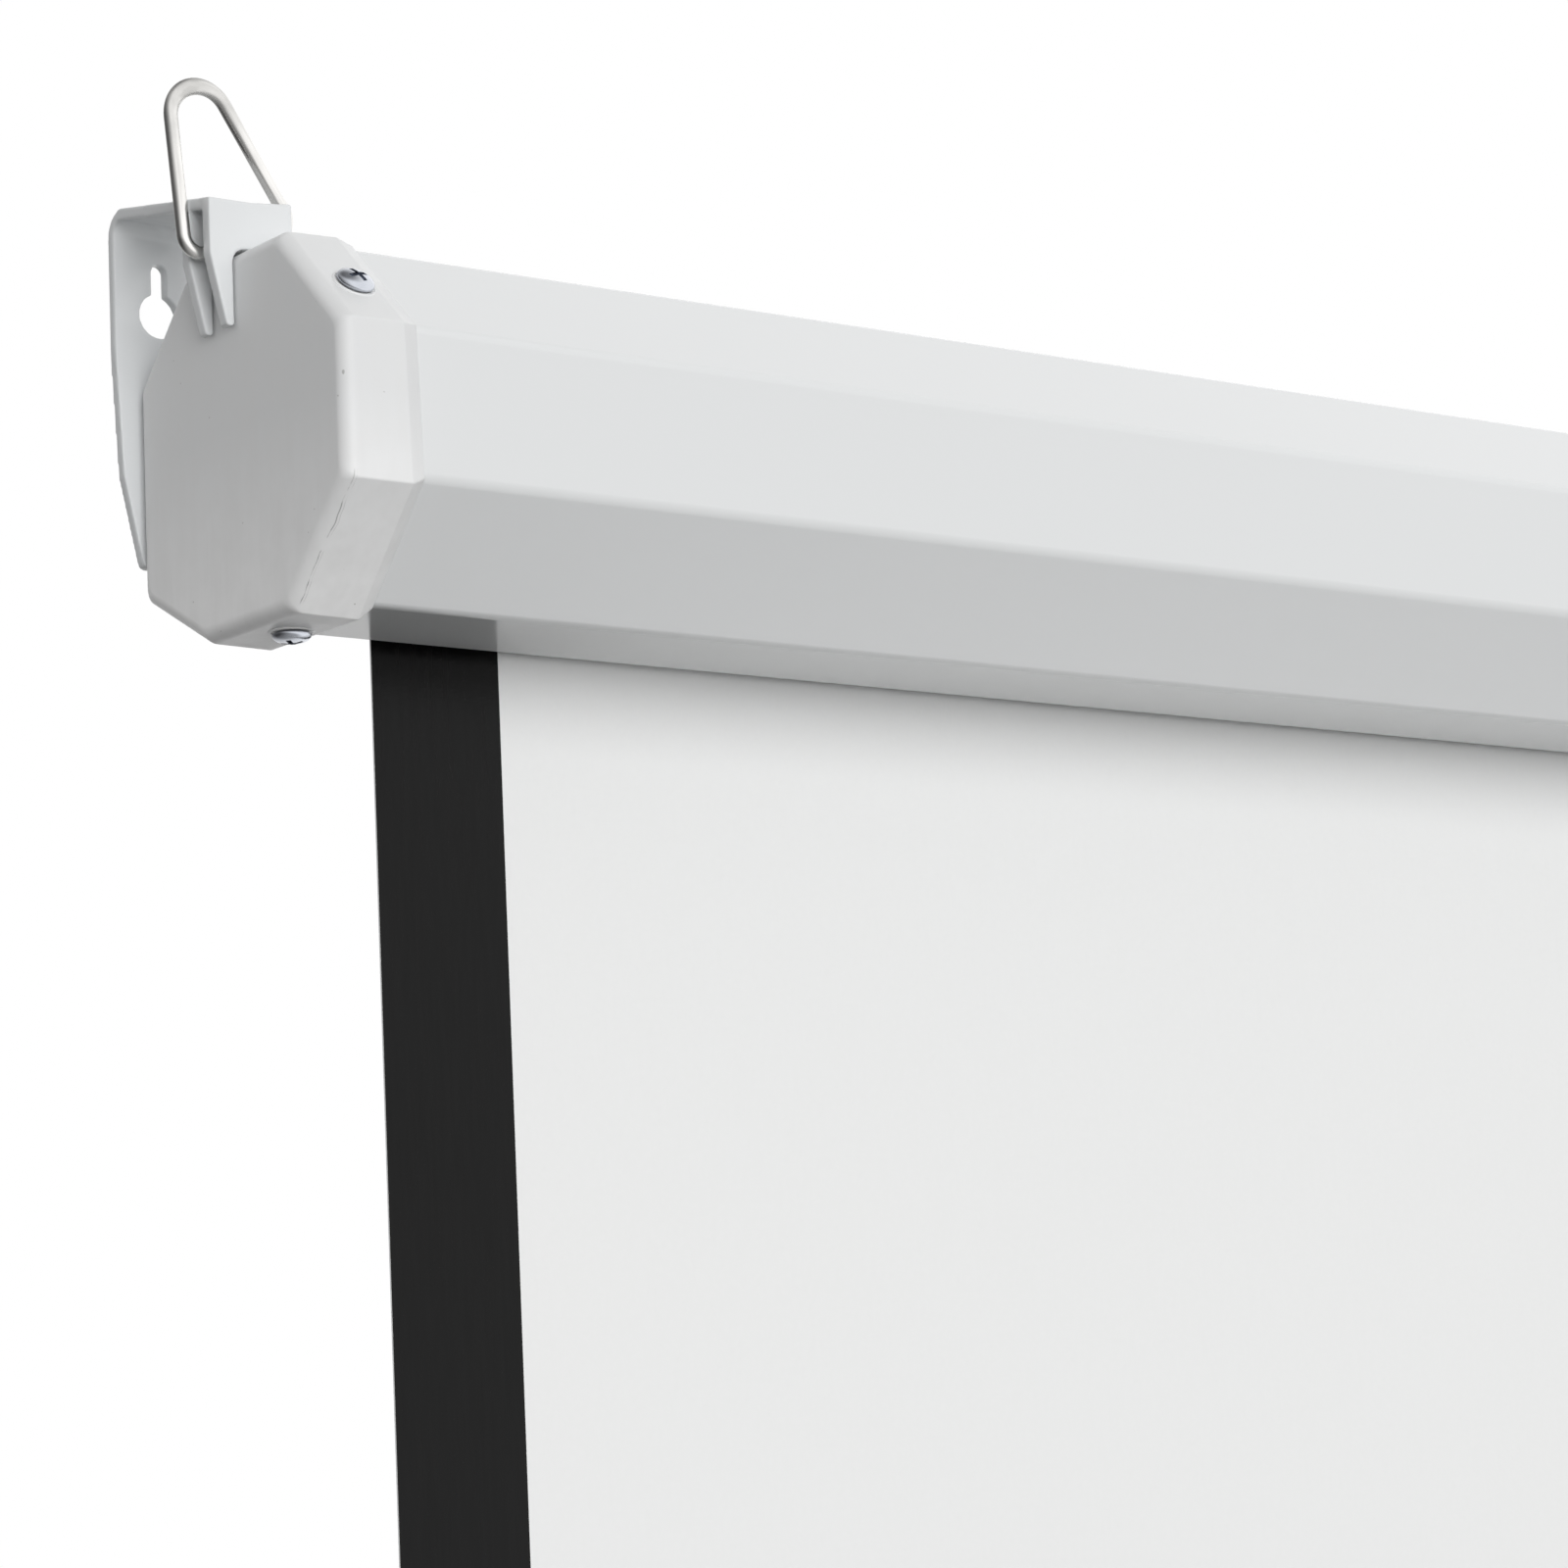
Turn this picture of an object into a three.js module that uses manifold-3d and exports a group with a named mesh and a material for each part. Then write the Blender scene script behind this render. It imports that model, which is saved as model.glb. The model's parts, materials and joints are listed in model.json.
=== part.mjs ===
// Pull-down projector screen: an eight-sided steel case on two wall brackets, a spring roller inside it,
// a white screen with black borders, and a weight bar with a pull handle. All lengths are in millimetres.
import * as THREE from 'three';
import { mergeVertices } from 'three/addons/utils/BufferGeometryUtils.js';
import Module from 'manifold-3d';

const wasm = await Module();
wasm.setup();

// Clearances
const seatGap = 0.3;
const runningGap = 0.35;
const cutOverrun = 5;
const weldDistance = 0.001;

// Picture and cloth, fully pulled down
const pictureWidth = 2214;
const pictureHeight = 1245;
const sideBorder = 30;
const bottomBorder = 30;
const clothThickness = 0.45;
const clothToCaseEnd = 39.4;

// Case: a bent steel sheet, measured from the roller's axis
const caseHeight = 70;
const caseFrontReach = 35.5;
const caseRearReach = 37;
const caseFrontChamfer = 20.5;
const caseRearTopChamfer = 17.7;
const caseRearBottomRise = 11.6;
const caseSheet = 1;
const caseBendRadius = 1.5;
const slotWidth = 8;
const slotLead = 4.75;
const flatPastSlotFront = 1.9;
const slotFrontLip = 5;
const slotRearLip = 4;

// End caps
const capProud = 2.3;
const capDrop = 0.8;
const capEndWall = 2.5;
const capSkirt = 14;
const capRimLength = 3.9;
const capRimProud = 0.9;
const capEdgeRadius = 2.5;
const capCornerRadius = 2.7;
const capEdgeShare = 0.98;
const capHubWall = 2.2;
const capHubLength = 6.5;
const frontScrewInset = 8.7;
const bottomScrewInset = 9.7;
const frontScrewDrop = 2.7;

// Screws
const capScrew = {
  headRadius: 3.8, headHeight: 2, shankRadius: 1.6, shankLength: 8, slotWidth: 0.9, slotDepth: 1.1,
};
const wallScrew = {
  headRadius: 3.2, headHeight: 1.7, shankRadius: 1.5, shankLength: 8, slotWidth: 0.8, slotDepth: 0.9,
};
const saddleScrew = {
  headRadius: 3, headHeight: 1.8, shankRadius: 1.4, shankLength: 7.5, slotWidth: 0.8, slotDepth: 0.9,
};
const slotLengthShare = 0.62;

// Wall bracket
const bracketSheet = 2.4;
const bracketOverhang = 4.35;
const bracketFrontOverhang = 5.4;
const bracketInboardEnd = 13.2;
const bracketTopAtWall = 54.6;
const bracketTopAtFront = 46.3;
const bracketBendRadius = 5;
const bracketFrontY = 0.2;
const bracketWaistOverhang = 3.05;
const bracketWaistEnd = 12;
const bracketTipDrop = 18.4;
const bracketTipStart = 1;
const bracketTipEnd = 6.4;
const bracketTipRadius = 1.6;
const ribThickness = 2.8;
const ribSpacing = 8;
const ribShoulderDrop = 11;
const ribTipDrop = 25.1;
const ribTipWidth = 1.7;
const ribTipRadius = 0.75;
const ribCrestStart = 3.7;
const ribCrestRise = 1;
const ringSlotEnd = 11.5;
const keyholeX = 5.85;
const keyholeZ = 33.4;
const keyholeRadius = 4.5;
const keySlotRadius = 1.6;
const keySlotHeight = 9;
const bracketScrewX = 9.1;
const bracketScrewHeights = [12, -2];

// Hanging ring: a bent wire triangle, leaning outboard as it hangs loose
const ringWireRadius = 1.38;
const ringBarLength = 26;
const ringApexDistance = 53.1;
const ringApexBend = 6.5;
const ringCornerBend = 3.5;
const ringLeanDegrees = 19.2;
const ringCentreInboard = 4.7;
const ringCentreAboveCap = 2.95;
const ringButtGap = 0.5;
const ringStep = 1.9;

// Roller, turning inside the case
const tubeRadius = 17;
const tubeWall = 0.8;
const leaderThickness = 0.6;
const plugFlangeRadius = 18.6;
const plugFlange = 3;
const plugLength = 21;
const idlerPinRadius = 3;
const idlerPlugStart = 13;
const bushRadius = 6;
const bushFlangeRadius = 8;
const bushFlange = 1.4;
const pinEndGap = 1;
const shaftRadius = 3.5;
const shaftTangWidth = 6;
const shaftTangHeight = 3;
const shaftTangLength = 8;
const shaftTail = 9;
const collarRadius = 8;
const collarLength = 4.5;
const collarGap = 1.5;
const notchWidth = 5.2;
const notchDepth = 2.6;
const springRadius = 7.5;
const springBore = 5;
const springLength = 252;
const anchorRadius = 8;
const anchorLength = 9;
const guideLength = 12;
const endPlay = 1.5;

// Lock pawl on the drive plug, drawn lifted as it is while the screen moves
const pawlThickness = 3.4;
const pawlReach = 8;
const pawlLever = 2.5;
const pawlNose = 3;
const pawlNoseDrop = 1.2;
const pawlNoseGap = 0.5;
const pawlBossRadius = 3;
const pawlPinRadius = 1.5;
const pawlPinHeadGap = 0.6;
const pawlLeverLift = 0.2;

// Weight bar, handle saddle and handle
const barRadius = 9.5;
const barWall = 1.2;
const barOverhang = 16;
const hemBeadRadius = 2.2;
const barPlugLength = 11;
const barPlugWall = 2.5;
const barPlugProud = 0.6;
const barPlugEase = 1;
const saddleWidth = 60;
const saddleWall = 2.6;
const saddleWrap = 4;
const saddleFootHeight = 6;
const saddleFootDepth = 9;
const saddleScrewSpacing = 24;
const lugWidth = 6;
const lugDrop = 8;
const lugRadius = 4.6;
const handleWireRadius = 2;
const handleEndInset = 1.5;
const handleWidth = 74;
const handleDrop = 36;
const handleBend = 8;
const handleStep = 2.4;
const gripRadius = 6;
const gripLength = 48;
const gripRounding = 1.6;

// Facet counts
const roundSides = 28;
const smallSides = 16;
const wireSides = 8;
const filletSteps = 3;
const edgeSteps = 4;

// Places worked out from the sizes above
const clothWidth = pictureWidth + 2 * sideBorder;
const overallLength = clothWidth + 2 * clothToCaseEnd;
const caseBottom = -caseHeight / 2;
const caseTop = caseHeight / 2;
const leaderRadius = tubeRadius + seatGap + leaderThickness;
const clothFront = leaderRadius + seatGap;
const clothCentre = clothFront + clothThickness / 2;
const slotFront = clothFront - slotLead;
const slotRear = slotFront + slotWidth;
const flatEnd = slotFront + flatPastSlotFront;
const slotRearZ = caseBottom + caseRearBottomRise * (slotRear - flatEnd) / (caseRearReach - flatEnd);
const capRear = caseRearReach + capProud;
const capTop = caseTop + capProud - capDrop;
const flangeFront = capRear + seatGap;
const wallY = flangeFront + bracketSheet;
const hemTop = caseBottom - pictureHeight;
const barTop = hemTop - bottomBorder;
const barZ = barTop - barRadius;
const bushBore = idlerPinRadius + runningGap;
const hubRadius = bushRadius + seatGap + capHubWall;
const hubEnd = capEndWall + capHubLength;
const socketEnd = hubEnd + seatGap + bushFlange;
const shaftStart = capEndWall + pinEndGap;
const collarStart = socketEnd + collarGap;
const drivePlugStart = collarStart + collarLength + endPlay;
const springStart = drivePlugStart + plugFlange + plugLength + endPlay;
const anchorStart = springStart + springLength + seatGap;
const guideStart = anchorStart + anchorLength + endPlay;
const shaftEnd = guideStart + guideLength + shaftTail;
const plugRadius = tubeRadius - tubeWall - seatGap;
const pivotZ = collarRadius + pawlNoseGap + pawlNoseDrop + pawlLeverLift;
const saddleInner = barRadius + seatGap;
const saddleOuter = saddleInner + saddleWall;
const footBottom = barZ - saddleInner - saddleFootHeight;
const handlePivotZ = footBottom - lugDrop + lugRadius;
const ringCentreZ = capTop + ringCentreAboveCap;

const white = new THREE.MeshStandardMaterial({ color: 0xe4e6e7, roughness: 0.32, metalness: 0 });
const capWhite = new THREE.MeshStandardMaterial({ color: 0xe0e0df, roughness: 0.5, metalness: 0 });
const bracketWhite = new THREE.MeshStandardMaterial({ color: 0xe3e7e9, roughness: 0.2, metalness: 0 });
const nickel = new THREE.MeshStandardMaterial({ color: 0xc9c7c2, roughness: 0.22, metalness: 1 });
const zinc = new THREE.MeshStandardMaterial({ color: 0xb9bfc8, roughness: 0.3, metalness: 1 });
const steel = new THREE.MeshStandardMaterial({ color: 0x8f9296, roughness: 0.4, metalness: 1 });
const greyPlastic = new THREE.MeshStandardMaterial({ color: 0x9a9c9e, roughness: 0.55, metalness: 0 });
const blackPlastic = new THREE.MeshStandardMaterial({ color: 0x202123, roughness: 0.5, metalness: 0 });
const whiteCloth = new THREE.MeshStandardMaterial({ color: 0xe9eaea, roughness: 0.85, metalness: 0 });
const blackCloth = new THREE.MeshStandardMaterial({ color: 0x1f1f20, roughness: 0.6, metalness: 0 });

// Outlines, as lists of points in a drawing plane

function point(x, y) {
  return new THREE.Vector2(x, y);
}

function filletArc(before, corner, after, radius) {
  const inward = corner.clone().sub(before).normalize();
  const outward = after.clone().sub(corner).normalize();
  const turn = Math.acos(THREE.MathUtils.clamp(inward.dot(outward), -1, 1));
  if (radius <= 0 || turn === 0) return [corner.clone()];
  const side = Math.sign(inward.cross(outward));
  const start = corner.clone().addScaledVector(inward, -radius * Math.tan(turn / 2));
  const centre = start.clone().add(point(-inward.y, inward.x).multiplyScalar(side * radius));
  const steps = Math.max(filletSteps, Math.round(turn * filletSteps));
  const swept = (k) => start.clone().rotateAround(centre, side * turn * k / steps);
  return Array.from({ length: steps + 1 }, (_, k) => swept(k));
}

function roundedLoop(points, radius) {
  const count = points.length;
  return points.flatMap((corner, k) => {
    const before = points[(k + count - 1) % count];
    return filletArc(before, corner, points[(k + 1) % count], radius);
  });
}

function roundedPath(points, radii) {
  const last = points.length - 1;
  return points.flatMap((corner, k) => {
    if (k === 0 || k === last) return [corner.clone()];
    return filletArc(points[k - 1], corner, points[k + 1], Array.isArray(radii) ? radii[k - 1] : radii);
  });
}

// Moves a path sideways by a distance, to its left where the distance is positive
function offsetPath(points, distance, isLoop) {
  const count = points.length;
  const normal = (a, b) => point(a.y - b.y, b.x - a.x).normalize();
  return points.map((corner, k) => {
    const hasBefore = isLoop || k > 0;
    const hasAfter = isLoop || k < count - 1;
    const after = hasAfter ? normal(corner, points[(k + 1) % count]) : null;
    const before = hasBefore ? normal(points[(k + count - 1) % count], corner) : after;
    const next = after ?? before;
    const share = distance / (1 + before.dot(next));
    return corner.clone().addScaledVector(before.clone().add(next), share);
  });
}

// The cross-section of a bent sheet, from the path of its outer face
function sheetSection(path, thickness, bendRadius) {
  const inner = offsetPath(path, -thickness, false);
  const innerRadius = Math.max(bendRadius - Math.abs(thickness), 0);
  return [...roundedPath(path, bendRadius), ...roundedPath(inner, innerRadius).reverse()];
}

function circle(radius, x, y, sides) {
  const turn = 2 * Math.PI / sides;
  const spoke = (angle) => point(x + radius * Math.cos(angle), y + radius * Math.sin(angle));
  return Array.from({ length: sides }, (_, k) => spoke(turn * k));
}

// Solids

// Welds a geometry's corners, drops collapsed triangles and turns its faces outward
function closed(geometry) {
  const bare = new THREE.BufferGeometry();
  bare.setAttribute('position', geometry.getAttribute('position'));
  if (geometry.index) bare.setIndex(geometry.index);
  const welded = mergeVertices(bare, weldDistance);
  const corners = [];
  for (let k = 0; k < welded.index.count; k += 3) {
    const [a, b, c] = [0, 1, 2].map((side) => welded.index.getX(k + side));
    if (a !== b && b !== c && c !== a) corners.push(a, b, c);
  }
  const place = (index) => new THREE.Vector3().fromBufferAttribute(welded.attributes.position, index);
  let volume = 0;
  for (let k = 0; k < corners.length; k += 3) {
    volume += place(corners[k]).dot(place(corners[k + 1]).cross(place(corners[k + 2])));
  }
  if (volume < 0) corners.reverse();
  welded.setIndex(corners);
  return welded;
}

function solidOf(geometry) {
  const shape = closed(geometry);
  const vertProperties = new Float32Array(shape.attributes.position.array);
  const triVerts = new Uint32Array(shape.index.array);
  return new wasm.Manifold(new wasm.Mesh({ numProp: 3, vertProperties, triVerts }));
}

function geometryOf(solid) {
  const mesh = solid.getMesh();
  const geometry = new THREE.BufferGeometry();
  geometry.setAttribute('position', new THREE.BufferAttribute(new Float32Array(mesh.vertProperties), 3));
  geometry.setIndex(new THREE.BufferAttribute(new Uint32Array(mesh.triVerts), 1));
  return geometry;
}

function join(first, ...others) {
  return geometryOf(others.reduce((solid, other) => solid.add(solidOf(other)), solidOf(first)));
}

function cut(first, ...others) {
  return geometryOf(others.reduce((solid, other) => solid.subtract(solidOf(other)), solidOf(first)));
}

function common(first, ...others) {
  return geometryOf(others.reduce((solid, other) => solid.intersect(solidOf(other)), solidOf(first)));
}

const unitX = new THREE.Vector3(1, 0, 0);
const unitY = new THREE.Vector3(0, 1, 0);
const unitZ = new THREE.Vector3(0, 0, 1);
const drawnInYZ = new THREE.Matrix4().makeBasis(unitY, unitZ, unitX);
const drawnInXZ = new THREE.Matrix4().makeBasis(unitX, unitZ, unitY.clone().negate());

function prism(points, depth, bevel = { bevelEnabled: false }) {
  return new THREE.ExtrudeGeometry(new THREE.Shape(points), { depth, ...bevel });
}

// A prism along X of an outline drawn with Y to the right and Z up
function prismX(points, x0, x1) {
  return prism(points, x1 - x0).applyMatrix4(drawnInYZ).translate(x0, 0, 0);
}

// A prism along Y of an outline drawn with X to the right and Z up
function prismY(points, y0, y1) {
  return prism(points, y1 - y0).applyMatrix4(drawnInXZ).translate(0, y1, 0);
}

function prismZ(points, z0, z1) {
  return prism(points, z1 - z0).translate(0, 0, z0);
}

// A prism along X with its long edges eased at both ends
function easedPrismX(points, x0, x1, easeLength, easeDepth, steps) {
  const ease = {
    bevelThickness: easeLength, bevelSize: easeDepth, bevelOffset: -easeDepth, bevelSegments: steps,
  };
  const body = prism(points, x1 - x0 - 2 * easeLength, ease);
  return body.applyMatrix4(drawnInYZ).translate(x0 + easeLength, 0, 0);
}

// Lifts the part of a piece past x0 steadily, until at x1 it stands the full rise higher
function liftedPast(geometry, x0, x1, rise) {
  const places = geometry.attributes.position;
  for (let k = 0; k < places.count; k += 1) {
    const share = THREE.MathUtils.clamp((places.getX(k) - x0) / (x1 - x0), 0, 1);
    places.setZ(k, places.getZ(k) + share * rise);
  }
  return geometry;
}

function boxAt(x0, x1, y0, y1, z0, z1) {
  const block = new THREE.BoxGeometry(x1 - x0, y1 - y0, z1 - z0);
  return block.translate((x0 + x1) / 2, (y0 + y1) / 2, (z0 + z1) / 2);
}

// A turned piece around X, from its radius at each distance along X
function turnedX(profile, sides) {
  const outline = profile.map(([x, radius]) => point(radius, x));
  return new THREE.LatheGeometry(outline, sides).rotateZ(-Math.PI / 2);
}

function ringX(inner, outer, x0, x1, sides) {
  return turnedX([[x0, inner], [x0, outer], [x1, outer], [x1, inner], [x0, inner]], sides);
}

function rodX(radius, x0, x1, sides) {
  return turnedX([[x0, 0], [x0, radius], [x1, radius], [x1, 0]], sides);
}

// A bent wire in the XZ plane, from the corners of its centre line and their bend radii
function wire(corners, bends, radius, step) {
  const path = new THREE.CurvePath();
  const stops = roundedPath(corners, bends).map((stop) => new THREE.Vector3(stop.x, 0, stop.y));
  for (let k = 1; k < stops.length; k += 1) path.add(new THREE.LineCurve3(stops[k - 1], stops[k]));
  const steps = Math.round(path.getLength() / step);
  const section = new THREE.Shape(circle(radius, 0, 0, wireSides));
  return new THREE.ExtrudeGeometry(section, { steps, extrudePath: path });
}

// A screw along +Z: its head's seat at zero, its shank below and a cross recess in the head
function crossRecess(size) {
  const reach = size.headRadius * slotLengthShare;
  const half = size.slotWidth / 2;
  const floor = size.headHeight - size.slotDepth;
  const top = size.headHeight + cutOverrun;
  return [boxAt(-reach, reach, -half, half, floor, top), boxAt(-half, half, -reach, reach, floor, top)];
}

function panScrew(size) {
  const { headRadius, headHeight, shankRadius, shankLength } = size;
  const dome = [0, 1, 2, 3].map((k) => {
    const angle = k * Math.PI / 6;
    return point(headRadius * Math.cos(angle), headHeight * Math.sin(angle));
  });
  const shank = [point(0, -shankLength), point(shankRadius, -shankLength), point(shankRadius, 0)];
  const profile = [...shank, ...dome];
  profile[profile.length - 1] = point(0, headHeight);
  return cut(new THREE.LatheGeometry(profile, smallSides).rotateX(Math.PI / 2), ...crossRecess(size));
}

function flatScrew(size) {
  const { headRadius, headHeight, shankRadius, shankLength } = size;
  const profile = [point(0, -shankLength), point(shankRadius, -shankLength), point(shankRadius, 0),
    point(headRadius, headHeight), point(0, headHeight)];
  return cut(new THREE.LatheGeometry(profile, smallSides).rotateX(Math.PI / 2), ...crossRecess(size));
}

// The hole that a countersunk screw needs, with the same axis and seat
function flatScrewHole(size) {
  const { headRadius, headHeight, shankRadius, shankLength } = size;
  const wide = headRadius + seatGap;
  const narrow = shankRadius + seatGap;
  const top = headHeight + cutOverrun;
  const profile = [point(0, -shankLength), point(narrow, -shankLength), point(narrow, 0),
    point(wide, headHeight), point(wide, top), point(0, top)];
  return new THREE.LatheGeometry(profile, smallSides).rotateX(Math.PI / 2);
}

// Turns a piece made along +Z to face another way, and sets it in place
function aimed(geometry, direction, place) {
  const turn = new THREE.Quaternion().setFromUnitVectors(unitZ, direction.clone().normalize());
  return geometry.clone().applyQuaternion(turn).translate(place.x, place.y, place.z);
}

// Everything at an end is drawn at the left end, with x counted inboard from the cap's end face
function atLeftEnd(geometry) {
  return geometry.clone().translate(-overallLength / 2, 0, 0);
}

function atRightEnd(geometry) {
  return closed(geometry.clone().scale(-1, 1, 1).translate(overallLength / 2, 0, 0));
}

const ends = [{ side: 'left', place: atLeftEnd }, { side: 'right', place: atRightEnd }];

// The model hangs on the wall at y zero, so the roller's axis lies in front of it
const screen = new THREE.Group();
screen.position.y = -wallY;

function addPiece(name, geometry, material) {
  const piece = new THREE.Mesh(closed(geometry), material);
  piece.name = name;
  screen.add(piece);
}

// Case
const caseCorners = [
  point(flatEnd, caseBottom),
  point(caseFrontChamfer - caseFrontReach, caseBottom),
  point(-caseFrontReach, caseBottom + caseFrontChamfer),
  point(-caseFrontReach, caseTop - caseFrontChamfer),
  point(caseFrontChamfer - caseFrontReach, caseTop),
  point(caseRearReach - caseRearTopChamfer, caseTop),
  point(caseRearReach, caseTop - caseRearTopChamfer),
  point(caseRearReach, caseBottom + caseRearBottomRise),
];

const frontScrewSpot = point(
  (caseCorners[3].x + caseCorners[4].x) / 2 - (capProud + frontScrewDrop) * Math.SQRT1_2,
  (caseCorners[3].y + caseCorners[4].y) / 2 + (capProud - frontScrewDrop) * Math.SQRT1_2 - capDrop,
);
const bottomScrewSpot = point((slotFront + caseCorners[1].x) / 2, caseBottom - capProud - capDrop);

// Where a cap screw's head seats, and the way that it faces
const capScrewSeats = [
  { name: 'front', facing: new THREE.Vector3(0, -1, 1), inset: frontScrewInset, spot: frontScrewSpot },
  { name: 'bottom', facing: new THREE.Vector3(0, 0, -1), inset: bottomScrewInset, spot: bottomScrewSpot },
].map(({ name, facing, inset, spot }) => {
  const direction = facing.normalize();
  const seat = new THREE.Vector3(inset, spot.x, spot.y).addScaledVector(direction, seatGap);
  return { name, direction, seat };
});

const bracketScrewSeats = bracketScrewHeights.map((height) => (
  new THREE.Vector3(bracketScrewX, wallY - seatGap - wallScrew.headHeight, height)
));

function shankHole(size, direction, seat) {
  const reach = size.shankLength + cutOverrun;
  const radius = size.shankRadius + seatGap;
  const hole = new THREE.CylinderGeometry(radius, radius, 2 * reach, smallSides);
  return aimed(hole.rotateX(Math.PI / 2), direction, seat);
}

function endHoles() {
  return [
    ...capScrewSeats.map(({ direction, seat }) => shankHole(capScrew, direction, seat)),
    ...bracketScrewSeats.map((seat) => shankHole(wallScrew, unitY, seat)),
  ];
}

function caseShell() {
  const lipStart = [point(slotFront, caseBottom + slotFrontLip), point(slotFront, caseBottom)];
  const lipEnd = [point(slotRear, slotRearZ), point(slotRear, slotRearZ + slotRearLip)];
  const section = sheetSection([...lipStart, ...caseCorners.slice(1), ...lipEnd], caseSheet, caseBendRadius);
  const end = overallLength / 2 - capEndWall - seatGap;
  const holes = ends.flatMap(({ place }) => endHoles().map(place));
  return cut(prismX(section, -end, end), ...holes);
}

addPiece('housing_shell', caseShell(), white);

// End caps
function capShell() {
  const cornerRadius = Math.max(capCornerRadius, capEdgeRadius);
  const skirtCorners = offsetPath(caseCorners, capProud, true).map(({ x, y }) => point(x, y - capDrop));
  const outline = roundedLoop(skirtCorners, cornerRadius);
  const rimEnd = capSkirt + capRimLength;
  const rimDepth = capProud - capRimProud;
  const block = easedPrismX(outline, 0, capSkirt, capEdgeRadius, capEdgeRadius * capEdgeShare, edgeSteps);
  const level = easedPrismX(outline, capEdgeRadius, rimEnd, capRimLength, rimDepth, 1);
  const rim = liftedPast(level, capSkirt, rimEnd, capDrop);
  const pocket = prismX(offsetPath(caseCorners, seatGap, true), capEndWall, rimEnd + cutOverrun);
  const hub = ringX(bushRadius + seatGap, hubRadius, capEndWall / 2, hubEnd, roundSides);
  return cut(join(cut(join(block, rim), pocket), hub), ...endHoles());
}

for (const { side, place } of ends) {
  addPiece(`${side}_end_cap`, place(capShell()), capWhite);
  for (const { name, direction, seat } of capScrewSeats) {
    addPiece(`${side}_cap_screw_${name}`, place(aimed(panScrew(capScrew), direction, seat)), zinc);
  }
}

// Wall brackets
function bracketTop(y) {
  const slope = (bracketTopAtWall - bracketTopAtFront) / (wallY - bracketFrontY);
  return bracketTopAtFront + slope * (y - bracketFrontY);
}

// A rib hooks over the cap: it lies above the cap's top and hangs down outside its end face
function ribOutline(y) {
  const top = bracketTop(y);
  const outer = -bracketFrontOverhang;
  const shoulder = bracketTopAtFront - ribShoulderDrop;
  const tip = bracketTopAtFront - ribTipDrop;
  const tipOuter = -seatGap - ribTipWidth;
  const underside = capTop + seatGap;
  const lower = roundedPath(
    [point(outer, shoulder), point(tipOuter, tip), point(-seatGap, tip), point(-seatGap, underside),
      point(bracketInboardEnd, underside)],
    [ribTipRadius, ribTipRadius, capEdgeRadius + seatGap],
  );
  const crest = [point(bracketInboardEnd, top + ribCrestRise), point(ribCrestStart, top)];
  return [point(outer, top), ...lower, ...crest];
}

function bracket() {
  const section = sheetSection(
    [point(wallY, -bracketTipDrop), point(wallY, bracketTopAtWall), point(bracketFrontY, bracketTopAtFront)],
    -bracketSheet,
    bracketBendRadius,
  );
  const outboardEnd = -Math.max(bracketOverhang, bracketFrontOverhang);
  const strip = prismX(section, outboardEnd, bracketInboardEnd);
  const tipCorners = roundedPath(
    [point(-bracketWaistOverhang, 0), point(bracketTipStart, -bracketTipDrop),
      point(bracketTipEnd, -bracketTipDrop), point(bracketWaistEnd, 0)],
    bracketTipRadius,
  );
  const above = bracketTopAtWall + cutOverrun;
  const faceOutline = [...tipCorners, point(bracketInboardEnd, bracketTopAtFront),
    point(bracketInboardEnd, above), point(outboardEnd, above), point(outboardEnd, bracketTopAtFront)];
  const face = prismY(faceOutline, bracketFrontY - cutOverrun, wallY + cutOverrun);
  const plan = prismZ(
    [point(-bracketFrontOverhang, bracketFrontY), point(bracketInboardEnd, bracketFrontY),
      point(bracketInboardEnd, wallY + cutOverrun), point(-bracketOverhang, wallY + cutOverrun),
      point(-bracketOverhang, wallY - bracketSheet)],
    -bracketTipDrop - cutOverrun,
    above,
  );
  const ribPlaces = [bracketFrontY, bracketFrontY + ribSpacing];
  const ribs = ribPlaces.map((y) => prismY(ribOutline(y), y, y + ribThickness));
  const ringSlot = boxAt(ringSlotEnd, bracketInboardEnd + cutOverrun, bracketFrontY + ribThickness,
    bracketFrontY + ribSpacing, capTop, above);
  const through = [flangeFront - cutOverrun, wallY + cutOverrun];
  const keyhole = prismY(circle(keyholeRadius, keyholeX, keyholeZ, roundSides), ...through);
  const keySlotTop = keyholeZ + keySlotHeight;
  const keySlot = prismY(
    [point(keyholeX - keySlotRadius, keyholeZ), point(keyholeX + keySlotRadius, keyholeZ),
      ...circle(keySlotRadius, keyholeX, keySlotTop, smallSides).slice(0, smallSides / 2 + 1)],
    ...through,
  );
  const screwHoles = bracketScrewSeats.map((seat) => aimed(flatScrewHole(wallScrew), unitY, seat));
  return cut(join(common(strip, face, plan), ...ribs), ringSlot, keyhole, keySlot, ...screwHoles);
}

for (const { side, place } of ends) {
  addPiece(`${side}_bracket`, place(bracket()), bracketWhite);
  bracketScrewSeats.forEach((seat, k) => {
    const name = `${side}_bracket_screw_${['upper', 'lower'][k]}`;
    addPiece(name, place(aimed(flatScrew(wallScrew), unitY, seat)), zinc);
  });
}

// Hanging rings
function hangingRing() {
  const half = ringBarLength / 2;
  const butt = ringButtGap / 2;
  const apex = point(0, ringApexDistance);
  const corners = [point(butt, 0), point(half, 0), apex, point(-half, 0), point(-butt, 0)];
  const ring = wire(corners, [ringCornerBend, ringApexBend, ringCornerBend], ringWireRadius, ringStep);
  const ringY = bracketFrontY + (ribThickness + ribSpacing) / 2;
  const lean = THREE.MathUtils.degToRad(-ringLeanDegrees);
  return ring.rotateY(lean).translate(ringCentreInboard, ringY, ringCentreZ);
}

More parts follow.
